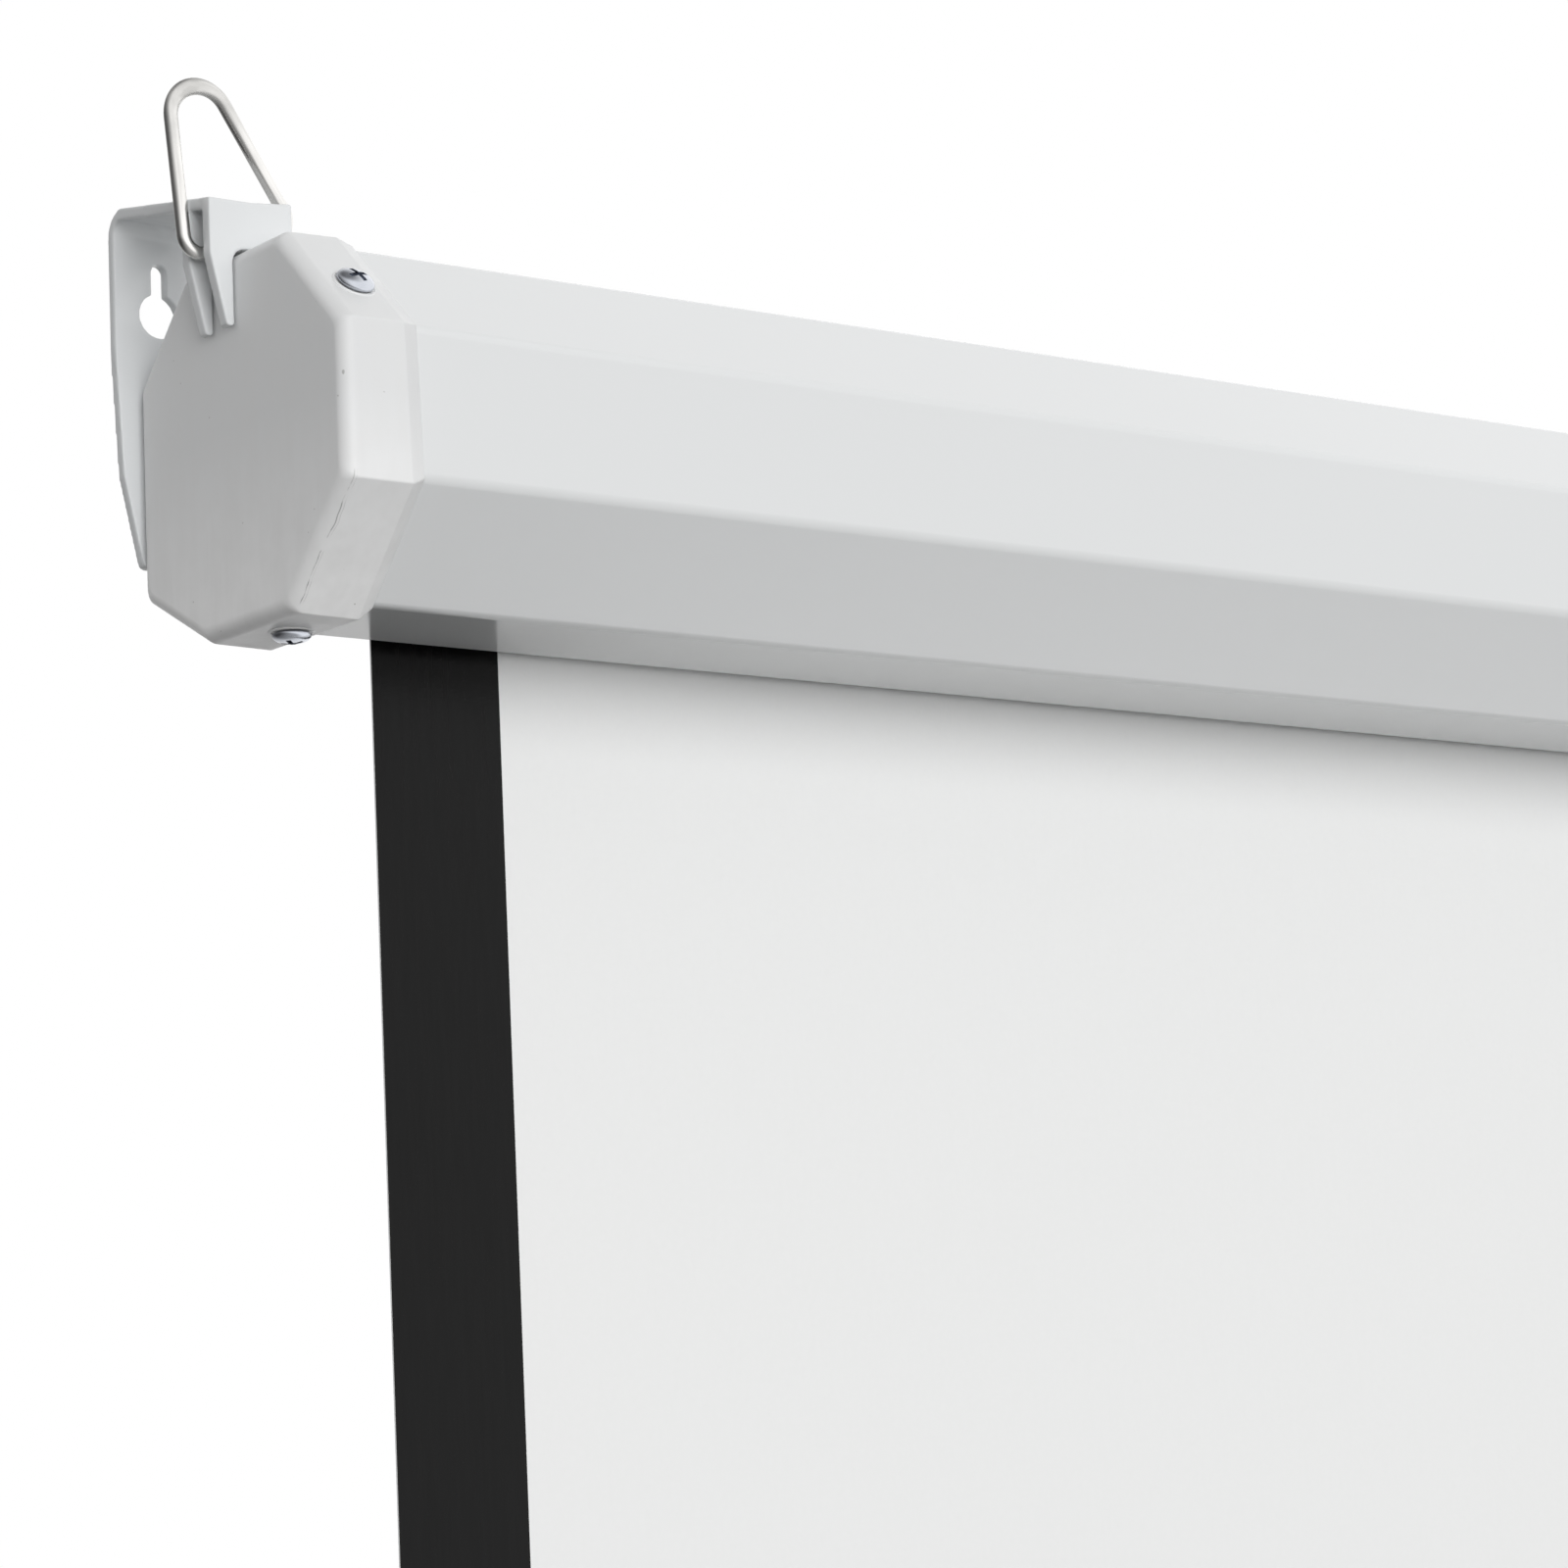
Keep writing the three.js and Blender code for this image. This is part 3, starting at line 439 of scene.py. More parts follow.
def floor_finish():
    """Matt and pale, with light of its own, so that it stays near white."""
    finish = Finish("pale_floor", (0.5, 0.5, 0.5), 0.8)
    finish.colour(finish.mix(finish.noise(0.6), (0.49, 0.49, 0.49), (0.51, 0.51, 0.51)))
    finish.shader.inputs["Emission Color"].default_value = (1, 1, 1, 1)
    finish.shader.inputs["Emission Strength"].default_value = FLOOR_GLOW
    return finish.material


def case_paint():
    finish = Finish("white_powder_coat", (0.8, 0.82, 0.83), 0.16)
    finish.colour(finish.mix(finish.noise(0.25), (0.772, 0.784, 0.788), (0.787, 0.799, 0.803)))
    finish.roughness(finish.range(finish.noise(0.03, 3), 0.3, 0.7, 0.13, 0.19))
    finish.bump(finish.noise(0.0025, 1), 0.00001, 0.4)
    return finish.material


def cap_plastic():
    """Moulded plastic with painted light low down and painted shade towards the top, a few specks and a
    scuffed line.
    """
    finish = Finish("moulded_cap_plastic", (0.8, 0.8, 0.79), 0.42)
    # Painted light and shade: the colour is lighter low on the cap, where more light reaches it, and darker
    # towards its top.
    height = finish.range(finish.axis("Z"), -32 * MM, 2 * MM, 0, 1)
    painted_light_and_shade = finish.mix(height, (0.96, 0.962, 0.96), (0.788, 0.797, 0.802))
    mottle = finish.range(finish.noise(0.009, 4), 0.3, 0.7, 0, 0.35)
    streaks = finish.range(finish.noise(0.0025, 3, (1, 1, 7)), 0.35, 0.7, 0, 0.25)
    worn = finish.mix(streaks, finish.mix(mottle, painted_light_and_shade, (0.8, 0.8, 0.795)), (0.78, 0.78, 0.775))
    specks = finish.range(finish.noise(0.0013, 0), 0.87, 0.89, 0, 0.6)
    marked = finish.mix(specks, worn, (0.3, 0.29, 0.28))
    finish.colour(finish.mix(finish.maths("MULTIPLY", scuffs(finish), 0.75), marked, (0.12, 0.11, 0.11)))
    finish.roughness(finish.range(finish.noise(0.006, 3), 0.3, 0.7, 0.28, 0.4))
    finish.bump(finish.noise(0.0006, 2), 0.00002, 0.4)
    return finish.material


def scuffs(finish):
    """How scuffed a cap is: two broken lines side by side, the second fainter."""
    wander = finish.range(finish.noise(0.009, 2), 0.3, 0.7, -SCUFF_WANDER, SCUFF_WANDER)
    along = finish.maths("ADD", finish.axis("X"), wander)
    faint = finish.maths("MULTIPLY", finish.near(along, SCUFF_X + SCUFF_STEP, FAINT_SCUFF_HALF), 0.4)
    line = finish.maths("MAXIMUM", finish.near(along, SCUFF_X, SCUFF_HALF), faint)
    dashes = finish.range(finish.noise(0.005, 4), 0.41, 0.55, 0, 1)
    lower = finish.range(finish.near(finish.axis("Z"), SCUFF_Z, SCUFF_REACH), 0, 0.08, 0, 1)
    front = finish.range(finish.axis("Y"), SCUFF_FRONT, SCUFF_FRONT + 1 * MM, 1, 0)
    place = finish.maths("MULTIPLY", lower, front)
    return finish.maths("MULTIPLY", finish.maths("MULTIPLY", line, dashes), place)


def bracket_plastic():
    finish = Finish("glossy_bracket_plastic", (0.76, 0.775, 0.785), 0.14)
    finish.colour(finish.mix(finish.noise(0.03), (0.755, 0.77, 0.778), (0.77, 0.785, 0.793)))
    finish.roughness(finish.range(finish.noise(0.01, 3), 0.3, 0.7, 0.1, 0.18))
    finish.bump(finish.noise(0.004, 1), 0.00002, 0.4)
    return finish.material


def nickel_wire():
    """Drawn wire: streaks run along it, and it is dulled where the bend was formed."""
    finish = Finish("nickel_plated_wire", (0.66, 0.65, 0.63), 0.2, 1)
    finish.along("wire_place")
    streaks = finish.mix(finish.range(finish.noise(0.0012, 2, (1, 1, 14)), 0.35, 0.65, 0, 1),
                         (0.6, 0.59, 0.575), (0.78, 0.77, 0.75))
    bend = finish.range(finish.near(finish.axis("Z"), 0, 18 * MM), 0, 0.6, 0, 1)
    smears = finish.range(finish.noise(0.002, 3, (1, 1, 3)), 0.36, 0.6, 0.35, 1)
    dulled = finish.maths("MULTIPLY", bend, smears)
    finish.colour(finish.mix(dulled, streaks, (0.52, 0.515, 0.5)))
    finish.roughness(finish.range(dulled, 0, 1, 0.22, 0.5))
    finish.bump(finish.noise(0.0009, 2, (1, 1, 10)), 0.00001, 0.4)
    return finish.material


def zinc_plate():
    finish = Finish("bright_zinc_plate", (0.5, 0.52, 0.57), 0.2, 1)
    finish.colour(finish.mix(finish.noise(0.0024, 3), (0.42, 0.44, 0.49), (0.6, 0.62, 0.66)))
    finish.roughness(finish.range(finish.noise(0.0012, 2), 0.3, 0.7, 0.16, 0.26))
    finish.bump(finish.noise(0.0006, 2), 0.00001, 0.4)
    return finish.material


def plain_steel():
    finish = Finish("oiled_steel", (0.36, 0.37, 0.38), 0.35, 1)
    finish.colour(finish.mix(finish.noise(0.02, 4, (4, 1, 1)), (0.3, 0.31, 0.32), (0.42, 0.43, 0.44)))
    finish.roughness(finish.range(finish.noise(0.004, 3, (8, 1, 1)), 0.3, 0.7, 0.28, 0.45))
    return finish.material


def grey_plastic():
    finish = Finish("grey_moulded_plastic", (0.32, 0.33, 0.34), 0.5)
    finish.colour(finish.mix(finish.noise(0.01, 3), (0.29, 0.3, 0.31), (0.35, 0.36, 0.37)))
    finish.roughness(finish.range(finish.noise(0.003, 2), 0.3, 0.7, 0.42, 0.58))
    finish.bump(finish.noise(0.0007, 2), 0.00003, 0.5)
    return finish.material


def black_plastic():
    finish = Finish("soft_black_plastic", (0.018, 0.018, 0.019), 0.48)
    finish.colour(finish.mix(finish.noise(0.004, 3), (0.014, 0.014, 0.015), (0.026, 0.026, 0.027)))
    finish.roughness(finish.range(finish.noise(0.002, 3), 0.3, 0.7, 0.4, 0.56))
    finish.bump(finish.noise(0.0008, 2), 0.00005, 0.6)
    return finish.material


def screen_white():
    """Matt coated cloth: a fine grain with a faint weave under it."""
    finish = Finish("matt_white_screen", (0.9, 0.904, 0.9), 0.9, specular=0.2)
    grain = finish.mix(finish.noise(0.0014, 3), (0.88, 0.884, 0.88), (0.905, 0.909, 0.905))
    weave = finish.range(finish.noise(0.0011, 1, (1, 1, 6)), 0.35, 0.7, 0, 0.5)
    finish.colour(finish.mix(weave, grain, (0.897, 0.902, 0.899)))
    finish.bump(finish.noise(0.0007, 2), 0.00005, 0.6)
    finish.bump(finish.noise(0.012, 2), 0.00008, 0.2)
    return finish.material


def screen_black():
    finish = Finish("satin_black_border", (0.003, 0.003, 0.003), 0.26, specular=0.15)
    streaks = finish.range(finish.noise(0.0011, 3, (1, 1, 12)), 0.3, 0.72, 0, 1)
    base = finish.mix(streaks, (0.002, 0.002, 0.002), (0.004, 0.004, 0.004))
    grain = finish.range(finish.noise(0.0009, 1), 0.3, 0.7, 0, 1)
    finish.colour(finish.mix(finish.maths("MULTIPLY", grain, 0.5), base, (0.003, 0.003, 0.003)))
    finish.roughness(finish.range(finish.noise(0.002, 3, (1, 1, 14)), 0.3, 0.7, 0.22, 0.3))
    finish.bump(finish.noise(0.0007, 2), 0.00004, 0.5)
    return finish.material


def cloth_backing():
    finish = Finish("charcoal_backing", (0.035, 0.035, 0.037), 0.85, specular=0.2)
    finish.colour(finish.mix(finish.noise(0.003, 3), (0.031, 0.031, 0.033), (0.041, 0.041, 0.043)))
    finish.bump(finish.noise(0.0009, 2), 0.00006, 0.6)
    return finish.material


# The finish for each material slot
FINISHES = {
    "case_paint": case_paint(), "cap_plastic": cap_plastic(), "bracket_plastic": bracket_plastic(),
    "ring_nickel": nickel_wire(), "screw_zinc": zinc_plate(), "plain_steel": plain_steel(),
    "grey_plastic": grey_plastic(), "black_plastic": black_plastic(), "screen_cloth": screen_white(),
    "border_cloth": screen_black(),
}


# Modelling

def add_piece(name, bm, body, slot, replaced=(), more_finishes=(), weighted=True):
    """Makes a bmesh into a piece that rides a body, with soft shading across its eased edges.

    Its slot's finish comes first. Where it is weighted, its flat faces are shaded flat.
    """
    mesh = bpy.data.meshes.new(name)
    bm.to_mesh(mesh)
    bm.free()
    mesh.shade_smooth()
    mesh.set_sharp_from_angle(angle=SHARP_ANGLE)
    piece = bpy.data.objects.new(name, mesh)
    for finish in (FINISHES[slot], *more_finishes):
        mesh.materials.append(finish)
    bpy.context.scene.collection.objects.link(piece)
    if weighted:
        piece.modifiers.new("flat_faces_stay_flat", "WEIGHTED_NORMAL").keep_sharp = True
    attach(piece, body)
    if replaced:
        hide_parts(*replaced)
    return piece


def closed_up(bm):
    bmesh.ops.remove_doubles(bm, verts=bm.verts, dist=MERGE)
    bmesh.ops.recalc_face_normals(bm, faces=bm.faces)
    return bm


def for_side(side, bm):
    """A shape of the left end, or its mirror image for the right end."""
    if side == "right":
        bmesh.ops.scale(bm, vec=(-1, 1, 1), verts=bm.verts)
        bmesh.ops.reverse_faces(bm, faces=bm.faces)
    return bm


def placed(bm, matrix):
    bmesh.ops.transform(bm, matrix=matrix, verts=bm.verts)
    return bm


def pulled_out(bm, made, vec):
    """Moves the points that an extrusion made, and returns them."""
    points = [item for item in made["geom"] if isinstance(item, bmesh.types.BMVert)]
    bmesh.ops.translate(bm, vec=vec, verts=points)
    return points


def corner_angle(edge):
    return edge.calc_face_angle(0) if len(edge.link_faces) == 2 else 0


def rounded_edges(bm, edges, width, segments=EDGE_SEGMENTS):
    bmesh.ops.bevel(bm, geom=list(edges), offset=width, offset_type="OFFSET", segments=segments,
                    profile=0.5, affect="EDGES", clamp_overlap=True, material=-1)
    return bm


def turned(profile, sides=ROUND):
    """A body of turning about X. The profile gives (along, radius) from the axis, round and back to it."""
    bm = bmesh.new()
    verts = [bm.verts.new((along, 0, radius)) for along, radius in profile]
    edges = [bm.edges.new(pair) for pair in zip(verts, verts[1:])]
    bmesh.ops.spin(bm, geom=verts + edges, cent=(0, 0, 0), axis=X_AXIS, dvec=(0, 0, 0), angle=2 * math.pi,
                   steps=sides, use_merge=True, use_normal_flip=False, use_duplicate=False)
    return closed_up(bm)


def turned_ring(profile, sides=ROUND):
    """As turned, for a ring: the profile is a closed loop clear of the axis."""
    return turned([*profile, profile[0]], sides)


def carved(bm, cutter):
    """The first shape with the second cut out of it."""
    shapes = []
    for part in (bm, cutter):
        mesh = bpy.data.meshes.new("carving")
        part.to_mesh(mesh)
        part.free()
        shape = bpy.data.objects.new("carving", mesh)
        bpy.context.scene.collection.objects.link(shape)
        shapes.append(shape)
    cut = shapes[0].modifiers.new("cut", "BOOLEAN")
    cut.object = shapes[1]
    cut.solver = "EXACT"
    left = bmesh.new()
    left.from_object(shapes[0], bpy.context.evaluated_depsgraph_get())
    for shape in shapes:
        bpy.data.objects.remove(shape)
    return left


def block(size, centre=(0, 0, 0)):
    bm = bmesh.new()
    bmesh.ops.create_cube(bm, size=1, matrix=Matrix.Translation(centre) @ Matrix.Diagonal((*size, 1)))
    return bm


def facing(direction, place):
    """Turns a shape made along X to face another way, and sets it in place."""
    return Matrix.Translation(place) @ Vector(direction).to_track_quat("X", "Z").to_matrix().to_4x4()


# Case and caps

def case_corners():
    """The case's eight corners in (y, z), from the flat bottom's rear edge round by the front."""
    front, rear, low, high = case_low.y, case_high.y, case_low.z, case_high.z
    return [
        Vector((SLOT_FRONT + FLAT_PAST_SLOT_FRONT, low)), Vector((front + CASE_FRONT_CHAMFER, low)),
        Vector((front, low + CASE_FRONT_CHAMFER)),
        Vector((front, high - CASE_FRONT_CHAMFER)), Vector((front + CASE_FRONT_CHAMFER, high)),
        Vector((rear - CASE_REAR_CHAMFER, high)), Vector((rear, high - CASE_REAR_CHAMFER)),
        Vector((rear, low + CASE_REAR_RISE)),
    ]


def case_outline(proud, corner_radius):
    """The case's outline moved outward, with each corner turned to an arc."""
    corners = case_corners()
    outline = []
    for k, corner in enumerate(corners):
        before = (corner - corners[k - 1]).normalized()
        after = (corners[(k + 1) % len(corners)] - corner).normalized()
        turn = math.atan2(before.cross(after), before.dot(after))
        first = Vector((-before.y, before.x)) if turn < 0 else Vector((before.y, -before.x))
        middle = Matrix.Rotation(turn / 2, 2) @ first
        centre = corner + middle * ((proud - corner_radius) / math.cos(turn / 2))
        for step in range(EDGE_SEGMENTS + 1):
            arc = Matrix.Rotation(turn * step / EDGE_SEGMENTS, 2)
            outline.append(centre + arc @ first * corner_radius)
    return outline


def loop_at(bm, outline, x, lean=0, closed=True):
    """A line of edges through an outline's points, square to X or leaning towards the end at the top."""
    verts = [bm.verts.new((x - lean * p.y, p.x, p.y)) for p in outline]
    ends = zip(verts, verts[1:] + verts[:1]) if closed else zip(verts, verts[1:])
    return [bm.edges.new(pair) for pair in ends]


def along_x(edge):
    a, b = (v.co for v in edge.verts)
    return abs(a.x - b.x) > (a - b).length / 2


def case_shell():
    """The bent sheet: its corners run along X, and two lips turn up into the slot."""
    corners = case_corners()
    flat_end, bottom = corners[0]
    slope = CASE_REAR_RISE / (corners[-1].x - flat_end)
    front_lip = Vector((SLOT_FRONT, bottom))
    rear_lip = Vector((SLOT_FRONT + SLOT_WIDTH, bottom + slope * (SLOT_FRONT + SLOT_WIDTH - flat_end)))
    path = [front_lip + Vector((0, SLOT_FRONT_LIP)), front_lip, *corners[1:], rear_lip,
            rear_lip + Vector((0, SLOT_REAR_LIP))]
    bm = bmesh.new()
    edges = loop_at(bm, path, case_low.x, closed=False)
    made = bmesh.ops.extrude_edge_only(bm, edges=edges)
    pulled_out(bm, made, (case_high.x - case_low.x, 0, 0))
    rounded_edges(bm, [e for e in bm.edges if along_x(e) and len(e.link_faces) == 2], CASE_BEND)
    bmesh.ops.recalc_face_normals(bm, faces=bm.faces)
    top = max(bm.faces, key=lambda face: face.calc_center_median().z)
    if top.normal.z < 0:
        bmesh.ops.reverse_faces(bm, faces=bm.faces)
    bmesh.ops.solidify(bm, geom=list(bm.faces), thickness=CASE_SHEET)
    return closed_up(bm)


def skirt_proud(x):
    """How far the cap's skirt stands out from the case's outline: it tapers towards the end face."""
    return CAP_PROUD - CAP_DRAFT * (1 - x / CAP_SKIRT)


def cap_stations():
    """The cap's outlines from its end face, over the skirt and the rim, and back inside.

    Each is (x from the end face, lean, distance proud of the case, drop, corner radius).
    """
    stations = []
    for step in range(CAP_EDGE_STEPS + 1):
        angle = math.pi / 2 * step / CAP_EDGE_STEPS
        radius = CAP_SKIRT_CORNER + (CAP_FACE_CORNER - CAP_SKIRT_CORNER) * math.cos(angle)
        proud = skirt_proud(CAP_EDGE) - CAP_EDGE * (1 - math.sin(angle))
        stations.append((CAP_EDGE * (1 - math.cos(angle)), 0, proud, CAP_DROP, radius))
    rim = CAP_SKIRT + CAP_RIM
    slope = (CAP_PROUD - CAP_RIM_PROUD) / CAP_RIM
    for x, proud, drop in (
            (CAP_SKIRT - CAP_CREASE, skirt_proud(CAP_SKIRT - CAP_CREASE), CAP_DROP),
            (CAP_SKIRT, CAP_PROUD - CREASE_DIP * slope * CAP_CREASE, CAP_DROP),
            (CAP_SKIRT + CAP_CREASE, CAP_PROUD - slope * CAP_CREASE, CAP_DROP),
            (rim - CAP_CREASE, CAP_RIM_PROUD + slope * CAP_CREASE, 0),
            (rim - RIM_ROUNDING * CAP_CREASE, CAP_RIM_PROUD - RIM_ROUNDING * CAP_CREASE, 0),
            (rim, CAP_RIM_PROUD - CAP_CREASE, 0),
            (rim, CAP_POCKET_GAP, 0),
    ):
        stations.append((x, CAP_RIM_LEAN, proud, drop, CAP_SKIRT_CORNER))
    return [*stations, (CAP_END_WALL, 0, CAP_POCKET_GAP, 0, CAP_SKIRT_CORNER)]


def end_cap():
    bm = bmesh.new()
    loops = []
    for x, lean, proud, drop, radius in cap_stations():
        outline = [p - Vector((0, drop)) for p in case_outline(proud, radius)]
        loops.append(loop_at(bm, outline, END_X + x, lean))
    for first, second in zip(loops, loops[1:]):
        bmesh.ops.bridge_loops(bm, edges=first + second)
    for loop in (loops[0], loops[-1]):
        bmesh.ops.contextual_create(bm, geom=loop)
    return closed_up(bm)


def cap_screw_places():
    """Where each cap screw's head seats on the left cap, and the way that it faces."""
    corners = case_corners()
    chamfer = (corners[3] + corners[4]) / 2
    under = (Vector((SLOT_FRONT, corners[1].y)) + corners[1]) / 2
    out, across = Vector((-1, 1)).normalized(), Vector((-1, -1)).normalized()
    front = chamfer + out * skirt_proud(FRONT_SCREW_INSET) + across * SCREW_DROP
    bottom = under - Vector((0, skirt_proud(BOTTOM_SCREW_INSET)))
    return {
        "front": (Vector((END_X + FRONT_SCREW_INSET, front.x, front.y - CAP_DROP)), Vector((0, *out))),
        "bottom": (Vector((END_X + BOTTOM_SCREW_INSET, bottom.x, bottom.y - CAP_DROP)), Vector((0, 0, -1))),
    }


def cap_screw(turn):
    """A domed head with a cross recess, on a plain shank, made along X from the seat."""
    profile = [(-SCREW_LENGTH, 0), (-SCREW_LENGTH, SCREW_SHANK), (0, SCREW_SHANK),
               (0, SCREW_HEAD - SCREW_EASE), (SCREW_EASE, SCREW_HEAD)]
    for step in range(HEAD_STEPS):
        angle = math.pi / 2 * step / HEAD_STEPS
        rise = (SCREW_RISE - SCREW_SKIRT) * math.sin(angle)
        profile.append((SCREW_SKIRT + rise, SCREW_HEAD * math.cos(angle)))
    profile.append((SCREW_RISE, 0))
    head = turned(profile, SMALL_ROUND)
    for angle in (turn, turn + math.pi / 2):
        slot = block((2 * RECESS_DEPTH, 2 * RECESS_REACH, RECESS_WIDTH), (SCREW_RISE, 0, 0))
        head = carved(head, placed(slot, Matrix.Rotation(angle, 4, "X")))
    return head


def screw_seat():
    """The low moulded ring round a cap screw's head."""
    inner = SCREW_HEAD + SEAT_GAP
    profile = [
        (-SEAT_SUNK, inner), (-SEAT_SUNK, SEAT_OUTER), (0, SEAT_OUTER),
        (SEAT_RISE - SEAT_EASE, SEAT_OUTER - SEAT_EASE), (SEAT_RISE, SEAT_OUTER - 3 * SEAT_EASE),
        (SEAT_RISE, inner + SEAT_EASE), (SEAT_RISE - SEAT_EASE, inner),
    ]
    return turned_ring(profile, SMALL_ROUND)


def bracket():
    """The construction's bracket, its facets joined, before it is remade with soft moulded edges."""
    bm = bmesh.new()
    bm.from_mesh(frame["nodes"]["left_bracket"].data)
    return closed_up(bm)


def moulded_soft(piece):
    """Finishes a piece as a moulding: an even skin, worked round at every edge."""
    skin = piece.modifiers.new("even_skin", "REMESH")
    skin.mode = "VOXEL"
    skin.voxel_size = BRACKET_CELL
    skin.adaptivity = 0
    skin.use_smooth_shade = True
    smooth = piece.modifiers.new("soft_edges", "SMOOTH")
    smooth.factor = 0.5
    smooth.iterations = BRACKET_PASSES


def saddle_clip():
    """The construction's saddle with its flat facets joined and its sharp edges eased."""
    bm = bmesh.new()
    bm.from_mesh(frame["nodes"]["handle_saddle"].data)
    bmesh.ops.remove_doubles(bm, verts=bm.verts, dist=FACET_MERGE)
    bmesh.ops.dissolve_limit(bm, angle_limit=FACET_ANGLE, verts=bm.verts, edges=bm.edges,
                             use_dissolve_boundaries=False)
    sharp = [e for e in bm.edges if corner_angle(e) > EASED_ANGLE]
    return rounded_edges(bm, sharp, SADDLE_EASE, FINE_SEGMENTS)


# Bent wire

class BentWire:
    """A round wire made as a bending jig makes it: straight runs and bends in the XZ plane."""

    def __init__(self, x, z, y, heading, radius, facets=WIRE_FACETS):
        self.bm = bmesh.new()
        self.place = self.bm.verts.layers.float_vector.new("wire_place")
        self.point = Vector((x, y, z))
        self.heading = heading
        self.length = 0
        turn = self.direction().to_track_quat("Z", "Y").to_matrix().to_4x4()
        made = bmesh.ops.create_circle(self.bm, cap_ends=True, segments=facets, radius=radius,
                                       matrix=Matrix.Translation(self.point) @ turn)
        self.edges = list({e for v in made["verts"] for e in v.link_edges})
        self.stops = [(self.length, self.point, self.heading)]

    def direction(self):
        return Vector((math.cos(self.heading), 0, math.sin(self.heading)))

    def run(self, length):
        made = bmesh.ops.extrude_edge_only(self.bm, edges=self.edges)
        points = set(pulled_out(self.bm, made, self.direction() * length))
        self.edges = [e for e in self.bm.edges if all(v in points for v in e.verts)]
        self.point = self.point + self.direction() * length
        self.length += length
        self.stops.append((self.length, self.point, self.heading))

    def bend(self, radius, turn, steps=BEND_STEPS):
        """A bend to the left, seen from the front, where turn is positive."""
        side = math.copysign(1, turn)
        left = Vector((-math.sin(self.heading), 0, math.cos(self.heading))) * side
        centre = self.point + left * radius
        made = bmesh.ops.spin(self.bm, geom=self.edges, cent=centre, axis=(0, -side, 0), dvec=(0, 0, 0),
                              angle=abs(turn), steps=steps, use_merge=False, use_normal_flip=False,
                              use_duplicate=False)
        self.edges = [g for g in made["geom_last"] if isinstance(g, bmesh.types.BMEdge)]
        start, start_length, start_heading = self.point, self.length, self.heading
        for step in range(1, steps + 1):
            part = turn * step / steps
            self.point = centre + Matrix.Rotation(-part, 3, "Y") @ (start - centre)
            self.heading = start_heading + part
            self.length = start_length + radius * abs(part)
            self.stops.append((self.length, self.point, self.heading))

    def finished(self, flat=0, flat_reach=0):
        """Closes the wire, and keeps on each point its place across the wire and along it from the middle.

        Within flat_reach of its middle the wire is pressed flatter: wider in the bend's plane and thinner
        across it.
        """
        bmesh.ops.contextual_create(self.bm, geom=self.edges)
        closed_up(self.bm)
        for vert in self.bm.verts:
            length, centre, heading = min(self.stops, key=lambda stop: (stop[1] - vert.co).length_squared)
            across = Vector((-math.sin(heading), 0, math.cos(heading)))
            away = vert.co - centre
            from_middle = length - self.length / 2
            vert[self.place] = (away.dot(across), away.y, from_middle)
            if abs(from_middle) < flat_reach:
                pressed = flat * (1 + math.cos(math.pi * from_middle / flat_reach)) / 2
                wider = across * (away.dot(across) * pressed)
                vert.co += wider - Y_AXIS * (away.y * pressed / (1 + pressed))
        return self.bm


def hanging_ring():
    """A triangle of wire with rounded corners. Its ends meet in the middle of its bar."""
    half, apex_half = RING_BAR / 2, math.atan2(RING_BAR / 2, RING_APEX)
    corner_turn = math.pi / 2 + apex_half
    apex_turn = math.pi - 2 * apex_half
    corner_reach = RING_CORNER_BEND * math.tan(corner_turn / 2)
    apex_reach = RING_APEX_BEND * math.tan(apex_turn / 2)
    bar_run = half - RING_BUTT_GAP / 2 - corner_reach
    leg_run = math.hypot(half, RING_APEX) - corner_reach - apex_reach
    ring_low, ring_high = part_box("left_hanging_ring")
    wire = BentWire(RING_BUTT_GAP / 2, 0, (ring_low.y + ring_high.y) / 2, 0, RING_WIRE)
    wire.run(bar_run)
    wire.bend(RING_CORNER_BEND, corner_turn)
    wire.run(leg_run)
    wire.bend(RING_APEX_BEND, apex_turn, RING_APEX_STEPS)
    wire.run(leg_run)
    wire.bend(RING_CORNER_BEND, corner_turn)
    wire.run(bar_run)
    centre = Matrix.Translation((END_X + RING_CENTRE_INBOARD, 0, RING_CENTRE_Z))
    return placed(wire.finished(RING_FLAT, RING_FLAT_REACH), centre @ Matrix.Rotation(-RING_LEAN, 4, "Y"))


def handle_bail():
    """The handle's wire: its ends turn in through the saddle's lugs."""
    half = (handle_high.x - handle_low.x) / 2 - HANDLE_WIRE
    top, low = handle_high.z - HANDLE_WIRE, handle_low.z + HANDLE_WIRE
    end_bend = 2 * HANDLE_WIRE
    end_run = half - HANDLE_END_REACH - end_bend
    side_run = top - low - end_bend - HANDLE_BEND
    wire = BentWire(-HANDLE_END_REACH, top, CLOTH_Y, math.pi, HANDLE_WIRE, HANDLE_FACETS)
    wire.run(end_run)
    wire.bend(end_bend, math.pi / 2)
    wire.run(side_run)
    wire.bend(HANDLE_BEND, math.pi / 2)
    wire.run(2 * (half - HANDLE_BEND))
    wire.bend(HANDLE_BEND, math.pi / 2)
    wire.run(side_run)
    wire.bend(end_bend, math.pi / 2)
    wire.run(end_run)
    return wire.finished()


